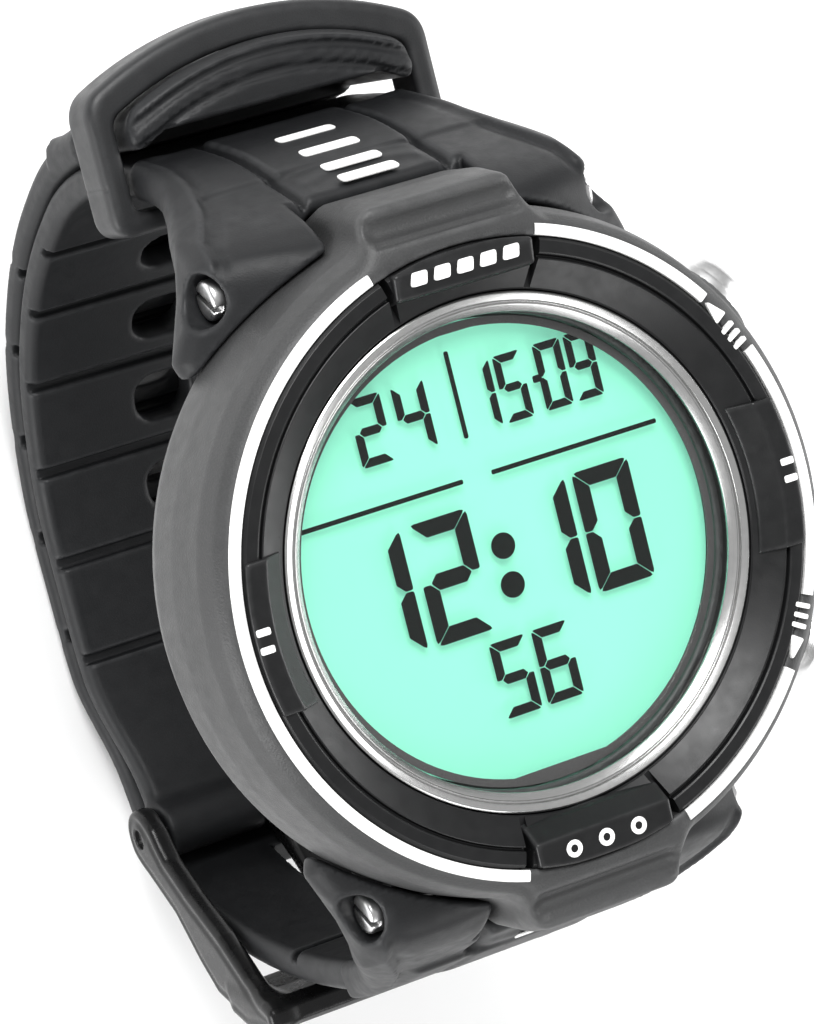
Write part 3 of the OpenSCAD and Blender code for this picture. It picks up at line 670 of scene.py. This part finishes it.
BEZEL_BASE = fillet([(18.05, 10.45), (18.05, 12), (18.15, 12.12), (21.55, 12.12), (21.6, 10.45)], 0.05)
BEZEL_RIDGE = fillet([(18.1, 12), (18.14, 12.14), (20.08, 13.36), (20.18, 13.3), (20.2, 13.02),
                      (20.38, 13.02), (20.42, 13.4), (20.55, BEZEL_TOP), (21.35, BEZEL_TOP), (21.6, 13.25),
                      (21.6, 12)], 0.09)
TOP_CORNERS = [(18.75, 11.9), (19.05, 13.75), (20.7, 14.15), (21.55, 13.75), (21.55, 11.9)]
LOW_CORNERS = [(17.9, 11.9), (18.2, 12.7), (19.3, 14.05), (21.55, 13.95), (21.55, 11.9)]
SIDE_CORNERS = [(18.4, 11.5), (18.45, 12.5), (20.0, 13.75), (21.5, 13.75), (21.5, 11.5)]
TOP_LABEL = outline_table(fillet(TOP_CORNERS, 0.35), 0.05)
LOW_LABEL = outline_table(fillet(LOW_CORNERS, 0.2), 0.05)
SIDE_BLOCK = outline_table(fillet(SIDE_CORNERS, 0.2), 0.05)


def bezel_ridge():
    """The bezel's raised rim, broken by a slot at each end of the two labels."""
    cuts = [106.2, 253.8, 286.2, 433.8]
    slot_deg = 1.5
    return [lathe(BEZEL_RIDGE, a + slot_deg / 2, b - a - slot_deg, 420)
            for a, b in zip(cuts, cuts[1:] + [cuts[0] + 360])]


def label_field(x, y, z):
    """The raised blocks at 12 and 6 o'clock."""
    top = meet(TOP_LABEL(y, z), np.abs(x) - 5.45, 0.35)
    low = meet(LOW_LABEL(-y, z), np.abs(x) - 5.4, 0.25)
    return meet(np.minimum(top, low), np.hypot(x, y) - 21.6, 0.2)


def side_block_field(x, y, z):
    """The low blocks at 3 and 9 o'clock."""
    return meet(SIDE_BLOCK(np.hypot(x, y), z), np.abs(y) - 5.3, 0.2)


add_solid("bezel", gather([lathe(BEZEL_BASE, segments=360)] + bezel_ridge()), "bezel_polymer",
          replaces=("bezel_ring",), sharp_deg=50)
add_moulding("label_top", label_field, (-5.6, 18.6, 11.8), (5.6, 21.7, 14.3), 0.12, "bezel_polymer")
add_moulding("label_low", label_field, (-5.6, -21.7, 11.8), (5.6, -17.7, 14.3), 0.12, "bezel_polymer")
add_moulding("block_right", side_block_field, (17.5, -5.5, 11.4), (21.7, 5.5, 13.9), 0.14, "bezel_polymer")
add_moulding("block_left", side_block_field, (-21.7, -5.5, 11.4), (-17.5, 5.5, 13.9), 0.14, "bezel_polymer")

STEEL_PROFILE = fillet([(WINDOW_R, 11.13), (WINDOW_R, 11.42), (17.06, 11.86), (17.12, 11.68), (17.26, 11.68),
                        (17.34, 11.93), (17.8, 12.12), (RING_OUT_R, 12.02), (RING_OUT_R, 9.97), (17.36, 9.97),
                        (17.36, 11.13)], 0.07)
add_solid("retainer_ring", lathe(STEEL_PROFILE, segments=360), "steel_ring", replaces=("glass_retainer",))

ARC_PROFILE = fillet([(21.7, 12.3), (22.52, 12.3), (22.52, 13.42), (22.36, 13.5), (21.86, 13.5),
                      (21.7, 13.42)], 0.12)
ARCS = [(108, 254), (-72, -38), (-24, 24), (37, 74)]
add_solid("white_arcs", gather([lathe(ARC_PROFILE, a, b - a, 420) for a, b in ARCS]), "white_ring",
          replaces=("accent_ring",))


def turned(part, degrees):
    """A mesh turned round Z."""
    return placed(part, Matrix.Rotation(math.radians(degrees), 4, "Z"))


def rounded_bar(u, v, length, width, low, high, lean=0.0):
    """A flat bar with round corners, leaning sideways by lean over its width."""
    corners = [(u - length / 2 - lean, v - width / 2), (u + length / 2 - lean, v - width / 2),
               (u + length / 2 + lean, v + width / 2), (u - length / 2 + lean, v + width / 2)]
    return plate(fillet(corners, 0.18 * width + 0.05, 3), low, high)


MARKS = [turned(rounded_bar(20.85, s * 0.62, 1.05, 0.5, 13.6, 13.8), a) for a in (0, 180) for s in (-1, 1)]
MARKS += [turned(plate(fillet([(21.3, -0.85 * s), (22.4, -0.85 * s), (21.95, 0.95 * s)], 0.15), 13.2, 13.52),
                 s * (BUTTON_DEG + 3.2)) for s in (-1, 1)]
add_solid("bezel_print", gather(MARKS), "white_print", replaces=("bezel_marks",))

TOP_DASHES = [rounded_bar(u, 20.3, 1.25, 0.95, 13.9, 14.13, 0.12) for u in (-3.6, -1.8, 0, 1.8, 3.6)]
LOW_DOTS = [lathe(fillet([(0.28, 13.9), (0.62, 13.9), (0.62, 14.06), (0.28, 14.06)], 0.05), segments=48)
            for _ in range(3)]
LOW_DOTS = [placed(dot, Matrix.Translation((u, -20.35, 0))) for dot, u in zip(LOW_DOTS, (-2.6, 0, 2.6))]
BUTTON_TICKS = [turned(rounded_bar(21.75, 0, 1.15, 0.34, 13.2, 13.54), s * (BUTTON_DEG - 1.1 - 1.9 * i))
                for s in (-1, 1) for i in range(3)]
add_solid("label_print", gather(TOP_DASHES + LOW_DOTS + BUTTON_TICKS), "white_print")


# ---- Straps ----

UPPER_PATH = path_table(spline([(28.1, 0)] + UPPER_KNOTS))
LOWER_PATH = path_table(spline([(-25.9, 0)] + LOWER_KNOTS))
UPPER_LENGTH = float(UPPER_PATH(np.array([-21.2]), np.array([-44.2]))[0][0])
UPPER_START = float(UPPER_PATH(np.array([30.1]), np.array([-5.5]))[0][0])
LOWER_START = float(LOWER_PATH(np.array([-27.7]), np.array([-5.5]))[0][0])
SHOULDER_SIDE = outline_table(np.vstack([spline(SHOULDER_OUTER), spline(SHOULDER_INNER)]))
SHOULDER_TOP = outline_table(SHOULDER_PLAN + [(-x, y) for x, y in SHOULDER_PLAN[::-1]])
SHOULDER_END = outline_table(SHOULDER_FRONT + [(-x, z) for x, z in SHOULDER_FRONT[::-1]])
SLOT_PITCH = 8.1
PANEL_HALF_W = 5.8


def ease(value, low, high):
    """0 below low, 1 above high, and a smooth climb between."""
    t = np.clip((value - low) / (high - low), 0, 1)
    return t * t * (3 - 2 * t)


def shoulder_field(x, y, z):
    """The moulded root of a strap, for the one at 12 o'clock."""
    wide = np.abs(x)
    side = SHOULDER_SIDE(y, z + np.where(z > -2, 0.03 * np.maximum(wide - 7, 0)**2, 0) * ease(z, -2, 4))
    top, end = SHOULDER_TOP(wide, y), SHOULDER_END(wide, z)
    groove = 0.75 * bump_at(wide, PANEL_HALF_W, 0.36) * ease(y, 23.5, 25)
    ridge = 0.3 * bump_at(y + 0.02 * x**2, 28.3, 0.55) * ease(-wide, -5.3, -4.3)
    panel = 0.28 * ease(PANEL_HALF_W - wide, 0, 0.4) * ease(y, 28.2, 29)
    raised = side + groove - np.maximum(panel, ridge)
    body = meet(meet(raised, top, 1.1), end, 1.1)
    body = meet(body, np.hypot(x, z + 22.7) - 32.6, 1.0)
    border = np.maximum(top, end)
    outside = ease(wide, PANEL_HALF_W + 2, PANEL_HALF_W + 4) * ease(y, 23, 25)
    body = body - outside * (0.24 * bump_at(border, -0.85, 0.35) - 0.2 * bump_at(border, -1.7, 0.35))
    body = meet(body, CASE_R + 0.12 - np.hypot(x, y), 0.55)
    body = carve(body, bumper_field(x, y, z) - 0.1, 0.45)
    body = carve(body, np.maximum(wide - 6.9, np.maximum(3.4 - z, y - 27.2)), 0.5)
    out = np.maximum(wide - 14.2, 0)
    pocket = np.hypot(y - LUG_Y - 0.1 * out, z - LUG_Z - 0.5 * out) - 1.7 - 0.12 * out
    body = carve(body, meet(pocket, 13.5 - wide, 0.4), 0.45)
    return carve(body, np.maximum(np.hypot(y - LUG_Y, z - LUG_Z) - 1.0, wide - 14), 0.1)


def strap_half_width(y):
    """Half the strap's width, which narrows towards the buckle."""
    return NECK_HALF_W + (STRAP_HALF_W - NECK_HALF_W) * ease(y, -18, -9)


def row(along, first, count):
    """Distance to the nearest of a row of places a slot's pitch apart."""
    place = np.clip(np.round((along - first) / SLOT_PITCH), 0, count - 1)
    return along - first - place * SLOT_PITCH


def slot_row(x, along, first, count):
    """A row of adjusting slots."""
    return rounded_box(x, row(along, first, count), 2.4, 2.1, 1.75)


def ribs(body, along, depth, first, count):
    """Grooves across a strap, cut where depth is above zero."""
    return carve(body, meet(np.abs(row(along, first, count)) - 0.45, -depth, 0.25), 0.25)


def upper_strap_field(x, y, z):
    """The strap from 12 o'clock, down the back to the sleeve round the buckle's pin."""
    along, left = UPPER_PATH(y, z)
    band = rounded_box(x, left - STRAP_MID, strap_half_width(y), STRAP_HALF_T, STRAP_EDGE_R)
    band = meet(band, np.maximum(1.2 - along, along - UPPER_LENGTH - 0.6), 0.4)
    outside = ease(left - STRAP_MID, 0.2, 0.9) * ease(z, -13, -10)
    band = band + 0.65 * bump_at(np.abs(x), PANEL_HALF_W, 0.33) * outside
    along = along - UPPER_START
    band = ribs(band, along, STRAP_MID - STRAP_HALF_T + 0.7 - left, 29.05, 6)
    body = join(band, shoulder_field(x, y, z), 0.8)
    pin = np.hypot(y - HINGE[1], z - HINGE[2])
    sleeve = meet(pin - 2.15, np.abs(x) - NECK_HALF_W, 0.5)
    body = join(body, sleeve, 1.2)
    body = carve(body, pin - PIN_HOLE_R, 0.1)
    gap = block(x, y, z, (-2, HINGE[1] - 6, HINGE[2] - 6), (2, HINGE[1] + 3.2, HINGE[2] + 6))
    body = carve(body, gap, 0.4)
    holes = np.maximum(slot_row(x, along, 25, 6), np.abs(left - STRAP_MID) - 4)
    return carve(body, holes, 0.45)


def tail_field(x, y, z):
    """The arched end of the tail, thick at its lipped tip."""
    rise = ease(z, -26, -19)
    arch = TAIL_ARCH_Y + np.sqrt(TAIL_ARCH_R**2 - np.clip(x, -12, 12)**2)
    middle = TAIL_ROOT_Y + (arch - TAIL_ROOT_Y) * rise
    inner = (y - middle) / np.sqrt(1 + (x / TAIL_ARCH_R)**2 * rise)
    lip = 0.35 * bump_at(z, -10.1, 0.55)
    above = inner - STRAP_HALF_T - lip
    bulge = ease(z, -17, -11.5)
    below = -inner - STRAP_HALF_T
    below = below + bulge * (np.minimum(below, 0.97 * (33.3 - y)) - below)
    sheet = meet(above, below, 0.7)
    reach = -9.02 - 0.5 * (np.abs(x) / STRAP_HALF_W)**6
    tip = meet(meet(sheet, np.abs(x) - STRAP_HALF_W, 1.3), z - reach, 0.5)
    for depth, width in ((-0.75, 0.3), (-2.25, 0.26)):
        tip = carve(tip, np.hypot(above - depth, z - reach) - width, 0.3)
    return np.maximum(tip, -26.5 - z)


def lower_strap_field(x, y, z):
    """The strap from 6 o'clock, over the buckle's pin and up the back to its tail in the keeper."""
    along, left = LOWER_PATH(y, z)
    band = rounded_box(x, left - STRAP_MID, strap_half_width(y), STRAP_HALF_T, STRAP_EDGE_R)
    band = meet(band, 1.2 - along, 0.4)
    along = along - LOWER_START
    band = ribs(band, along, left - (STRAP_MID + STRAP_HALF_T - 0.7), 16.5, 1)
    band = ribs(band, along, left - (STRAP_MID + STRAP_HALF_T - 0.65), 58.35, 5)
    band = ribs(band, along, STRAP_MID - STRAP_HALF_T + 0.65 - left, 58.35, 5)
    band = np.maximum(band, np.where(y > 20, z + 21, -1))
    body = join(band, tail_field(x, y, z), 0.5)
    body = join(body, shoulder_field(x, -y, z), 0.8)
    body = meet(body, FLOOR_Z - z, 0.3)
    down, up = on_buckle(y, z)
    body = carve(body, block(x, down, up, (-2.05, -13.8, -5.5), (2.05, -3.3, 3)), 0.2)
    holes = np.maximum(slot_row(x, along, 54.3, 6), np.abs(left - STRAP_MID) - 4)
    return carve(body, holes, 0.45)


def on_buckle(y, z):
    """A point seen from the buckle's pin, back from the crossbar and up to the wrist."""
    c, s = math.cos(math.radians(BUCKLE_DEG)), math.sin(math.radians(BUCKLE_DEG))
    return c * (y - HINGE[1]) - s * (z - HINGE[2]), s * (y - HINGE[1]) + c * (z - HINGE[2])


UPPER_LOW, UPPER_HIGH = box_mm("upper_strap")
LOWER_LOW, LOWER_HIGH = box_mm("lower_strap")
add_moulding("strap_upper", upper_strap_field, UPPER_LOW, UPPER_HIGH, 0.32, "strap_rubber",
             replaces=("upper_strap",))
add_moulding("strap_lower", lower_strap_field, LOWER_LOW, LOWER_HIGH, 0.32, "strap_rubber",
             replaces=("lower_strap",))


def strap_bars(places, sign):
    """Printed bars across a centre panel, at fractions of the shoulder's outer curve."""
    curve = spline(SHOULDER_OUTER)
    parts = []
    for place in places:
        i = int(place * len(curve))
        along = curve[i + 2] - curve[i - 2]
        normal = np.array([-along[1], along[0]]) / np.linalg.norm(along)
        spot = curve[i] + 0.36 * normal
        tilt = math.atan2(along[1], along[0])
        bar = plate(fillet([(-2.3, -0.62), (2.3, -0.62), (2.3, 0.62), (-2.3, 0.62)], 0.45, 5), -0.05, 0.05)
        part = placed(bar, Matrix.Translation((0, *spot)) @ Matrix.Rotation(tilt, 4, "X"))
        parts.append(part if sign > 0 else placed(part, Matrix.Rotation(math.pi, 4, "Z")))
    return parts


add_solid("strap_print", gather(strap_bars((0.62, 0.7, 0.78, 0.86), 1) + strap_bars((0.62, 0.7), -1)),
          "white_print", replaces=("strap_inlays",))


# ---- Keeper, buckle and tongue ----

def keeper_field(x, y, z):
    """The loose loop: arched outside, and open for both straps."""
    wide = np.abs(x)
    arch = np.hypot(x, y - KEEPER_ARCH_Y)
    outer = meet(arch - KEEPER_OUT_R, meet(wide - KEEPER_HIGH[0], KEEPER_LOW[1] - y, 1.8), 1.4)
    inner = meet(arch - KEEPER_IN_R, meet(wide - 12, 28 - y, 1.0), 0.8)
    middle = (KEEPER_LOW[2] + KEEPER_HIGH[2]) / 2
    half = (KEEPER_HIGH[2] - KEEPER_LOW[2]) / 2
    body = carve(meet(outer, np.abs(z - middle) - half, 0.95), inner, 0.6)
    notch = np.maximum(np.abs(y - 30.2) - 0.06, 13.7 - np.maximum(-x, 0))
    return carve(body, notch, 0.1)


add_moulding("keeper", keeper_field, KEEPER_LOW, KEEPER_HIGH, 0.25, "keeper_rubber", "keeper",
             ("keeper_loop",))

ARM = outline_table(fillet([(HINGE[1] - 0.7, HINGE[2] - 2.1), (-24.2, -42.6), (-27.4, -38.6), (-31, -36),
                            (-33.4, -33.8), (-35.4, -28.6), (-35.4, -24.4), (-34.9, -23.8), (-33.7, -23.8),
                            (-33.1, -25.2), (-31.4, -27.6), (-28.4, -31), (-25.5, -35.2), (-23, -38.2),
                            (HINGE[1] + 1.2, HINGE[2] + 2)], 1.2))
# The crossbar's inner face reaches closer to the strap than the part file's crossbar, so its dark plastic
# fills part of a gap that is only shade: geometry standing in for shade
CROSSBAR = outline_table(fillet([(-34.5, -31.2), (-35.4, -28.4), (-35.4, -24.4), (-34.9, -23.8),
                                 (-33.7, -23.8), (-33, -24.8), (-32.9, -27.4), (-32.5, -31.2)], 0.4))
TONGUE = outline_table(fillet([(-1.2, -1.6), (-6, -1.75), (-12, -2.3), (-17.5, -2.55), (-19.3, -2.6),
                               (-19.5, -2.35), (-19.2, -2.05), (-18.1, -1.3), (-17, -1), (-12, -0.9),
                               (-6, 0.1), (-1.2, 1.3)], 0.4))


def buckle_field(x, y, z):
    """Two arms from the pin, and the crossbar between their ends."""
    wide = np.abs(x)
    pin = np.hypot(y - HINGE[1], z - HINGE[2])
    arm = join(ARM(y, z), pin - 2.3, 1.0)
    arms = meet(arm, np.abs(wide - BUCKLE_HIGH[0] + 0.9) - 0.9, 0.75)
    arms = arms + 0.15 * bump_at(arm, -0.8, 0.32) * ease(wide, BUCKLE_HIGH[0] - 0.6, BUCKLE_HIGH[0])
    bar = meet(CROSSBAR(y, z), wide - BUCKLE_HIGH[0], 0.8)
    return carve(join(arms, bar, 0.8), pin - 0.75, 0.12)


def tongue_field(x, y, z):
    """The prong that swings on the buckle's pin."""
    back, up = on_buckle(y, z)
    pin = np.hypot(back, up)
    blade = meet(join(TONGUE(back, up), pin - 2.0, 0.8), np.abs(x) - 1.7, 0.6)
    return carve(blade, pin - PIN_HOLE_R, 0.1)


add_moulding("buckle", buckle_field, BUCKLE_LOW, BUCKLE_HIGH, 0.17, "buckle_plastic", "buckle",
             ("buckle_frame",))
add_moulding("tongue", tongue_field, *box_mm("buckle_tongue"), 0.15, "buckle_plastic", "tongue",
             ("buckle_tongue",))


# ---- Buttons and screws ----

BUTTON_PROFILE = [(0, 16.4), (1.2, 16.4), (1.2, 16.7), (0.95, 16.7), (0.95, 17.02), (1.2, 17.02), (1.2, 19.5),
                  (0.85, 19.5), (0.85, 20.1), (1.2, 20.1), (1.2, 25.3), (2.7, 25.3), (2.7, 23), (3.05, 23),
                  (3.2, 23.2), (3.2, 24.9), (3.12, 25.1), (3.02, 25.15), (2.98, 25.3), (2.9, 25.85),
                  (2.66, 26.2), (2.4, 26.3), (2.1, 26.27), (1.98, 25.95), (1.9, 25.9), (1, 25.9),
                  (0.92, 26.1), (0, 26.12)]


def button_part(side):
    """A push button with its stem, lying along its own axis."""
    points, faces = lathe(BUTTON_PROFILE, segments=120)
    turn = Matrix.Rotation(math.radians(side * BUTTON_DEG), 4, "Z") @ Matrix.Rotation(math.pi / 2, 4, "Y")
    return placed((points, faces), Matrix.Translation((0, 0, BUTTON_Z)) @ turn)


for name, side in (("upper_button", 1), ("lower_button", -1)):
    add_solid(name + "_cap", button_part(side), "steel", name, (name,))


def screw_field(x, y, z):
    """A slotted screw, along X."""
    distance = np.hypot(y, z)
    head = meet(distance - SCREW_HEAD_R, np.abs(x - PIN_END + 0.75) - 0.75, 0.35)
    body = np.minimum(head, np.maximum(distance - 0.7, np.abs(x - 12) - 1.8))
    return carve(body, np.maximum(np.abs(z) - 0.2, PIN_END - 0.7 - x), 0.12)


def add_screws():
    """The four screws at the ends of the strap pins."""
    points, faces, _, _ = net(screw_field, (10, -2, -2), (PIN_END, 2, 2), 0.12)
    tilt = Matrix.Rotation(math.radians(60), 4, "X")
    copies = []
    for y in (-LUG_Y, LUG_Y):
        for turn in (0, math.pi):
            spot = Matrix.Translation((0, y, LUG_Z)) @ Matrix.Rotation(turn, 4, "Y") @ tilt
            copies.append(placed((points, faces), spot))
    add_solid("screws", gather(copies), "steel", replaces=("strap_screws",), sharp_deg=50)


add_screws()

# ---- Display ----

# The reflector lies under the display's bars, so the bars drop soft shadows on it. Its material also gives it
# a faint painted glow.
REFLECTOR = [(0, 8.6), (16.28, 8.6), (16.28, 8.68), (0, 8.68)]
add_solid("reflector", lathe(REFLECTOR, segments=256), "lcd_backlight", replaces=("lcd_rear_glass",))

INK_LOW, INK_HIGH = 9.2, 9.27
DOT_R = 0.92
LIT_BARS = {0: "tuvbwx", 1: "uv", 2: "tumwb", 4: "xmuv", 5: "txmvb", 6: "txwbvm", 9: "tuvbxm"}


def digit_bars(value, x, y, w, h, t):
    """The lit bars of a seven-bar digit, mitred where they meet. t, m and b run across, the rest upright."""
    u, v, gap = w / 2 + t / 2, h + t / 2, 0.05
    across = [(-u + gap, v), (u - gap, v), (u - t - gap, v - t), (-u + t + gap, v - t)]
    upright = [(u, v - gap), (u - t, v - t - gap), (u - t, t / 2 + gap), (u - t / 2, gap), (u, gap)]
    middle = [(-u + t / 2 + 2 * gap, 0), (-u + t + gap, t / 2), (u - t - gap, t / 2),
              (u - t / 2 - 2 * gap, 0), (u - t - gap, -t / 2), (-u + t + gap, -t / 2)]
    shapes = {"t": (across, 1, 1), "b": (across, 1, -1), "u": (upright, 1, 1), "v": (upright, 1, -1),
              "x": (upright, -1, 1), "w": (upright, -1, -1), "m": (middle, 1, 1)}
    parts = []
    for bar in LIT_BARS[value]:
        shape, flip_x, flip_y = shapes[bar]
        corners = [(x + flip_x * a, y + flip_y * b) for a, b in shape]
        parts.append(plate(fillet(corners[::flip_x * flip_y], 0.14 * t, 2), INK_LOW, INK_HIGH))
    return parts


def add_display_ink():
    """The digits, colon and rules, at the places where the display shows them."""
    rows = [((1, 2), -9.7, 5.3, -0.6, 3.4, 3.75, 1.15), ((1, 0), 3.5, 5.2, -0.6, 3.4, 3.75, 1.15),
            ((5, 6), -1.5, 3.4, -8.6, 2.2, 2.35, 0.68), ((2, 4), -7.6, 3.4, 10.8, 1.9, 2.1, 0.6),
            ((1, 5), 1.2, 2.5, 10.8, 1.6, 2.1, 0.55), ((0, 9), 6.9, 2.5, 10.8, 1.6, 2.1, 0.55)]
    parts = []
    for values, x, pitch, y, w, h, t in rows:
        for i, value in enumerate(values):
            parts += digit_bars(value, x + i * pitch, y, w, h, t)
    angles = np.linspace(0, 2 * math.pi, 49)[:-1]
    for y in (0.4, -2.4):
        dot = [(DOT_R * math.cos(a), y + DOT_R * math.sin(a)) for a in angles]
        parts.append(plate(dot, INK_LOW, INK_HIGH))
    for x, y, width, height in ((5.65, 10.82, 0.7, 0.5), (-0.72, 11.4, 0.33, 6.2), (-8.2, 5.52, 12.8, 0.33),
                                (7.2, 5.52, 13.4, 0.33)):
        parts.append(rounded_bar(x, y, width, height, INK_LOW, INK_HIGH))
    add_solid("lcd_ink", gather(parts), "lcd_dark", replaces=("lcd_segments",))


add_display_ink()


# ---- Stage, light and camera ----

def add_floor():
    """A plain pale floor under the strap."""
    material, nodes, links, shader = new_material("floor_white")
    mottle = noise(nodes, links, 30.0, 2.0)
    links.new(ramp(nodes, links, mottle, [(0.3, (0.9, 0.9, 0.9)), (0.7, (0.93, 0.93, 0.93))]),
              shader.inputs["Base Color"])
    shader.inputs["Roughness"].default_value = 0.9
    mesh = bpy.data.meshes.new("floor")
    half = 3.0
    level = FLOOR_Z * MM
    mesh.from_pydata([(-half, -half, level), (half, -half, level), (half, half, level), (-half, half, level)],
                     [], [(0, 1, 2, 3)])
    mesh.materials.append(material)
    floor = bpy.data.objects.new("floor", mesh)
    bpy.context.scene.collection.objects.link(floor)


def add_light(name, place, size, power):
    """A soft square light aimed at the middle of the object."""
    light = bpy.data.lights.new(name, "AREA")
    light.size = size
    light.energy = power
    lamp = bpy.data.objects.new(name, light)
    lamp.location = place
    lamp.rotation_euler = (-Vector(place)).to_track_quat("-Z", "Y").to_euler()
    bpy.context.scene.collection.objects.link(lamp)


def add_world(strength):
    """Even white light from every side."""
    world = bpy.data.worlds.new("studio")
    world.use_nodes = True
    background = world.node_tree.nodes["Background"]
    background.inputs["Color"].default_value = (1, 1, 1, 1)
    background.inputs["Strength"].default_value = strength
    bpy.context.scene.world = world


def add_camera():
    """The camera, from its place and the directions of its right and top edges."""
    right = Vector((0.8671, -0.2422, 0.4353))
    up = Vector((0.2776, 0.9605, -0.0184))
    back = right.cross(up).normalized()
    up = back.cross(right)
    data = bpy.data.cameras.new("camera")
    data.lens = 158.2
    data.clip_start = 0.01
    camera = bpy.data.objects.new("camera", data)
    camera.matrix_world = Matrix.Translation((-0.1338, 0.0468, 0.2863)) @ Matrix(
        ((right.x, up.x, back.x, 0), (right.y, up.y, back.y, 0), (right.z, up.z, back.z, 0), (0, 0, 0, 1)))
    bpy.context.scene.collection.objects.link(camera)
    bpy.context.scene.camera = camera


add_floor()
add_light("key", (-0.1, 0.42, 0.45), 0.35, 4.8)
add_light("fill", (0.6, -0.1, 0.2), 0.4, 2.2)
add_light("side", (-0.55, -0.2, 0.1), 0.35, 3.0)
add_light("front", (0.05, -0.5, 0.35), 0.3, 1.4)
add_world(0.5)
add_camera()
bpy.context.scene.view_settings.view_transform = "Standard"
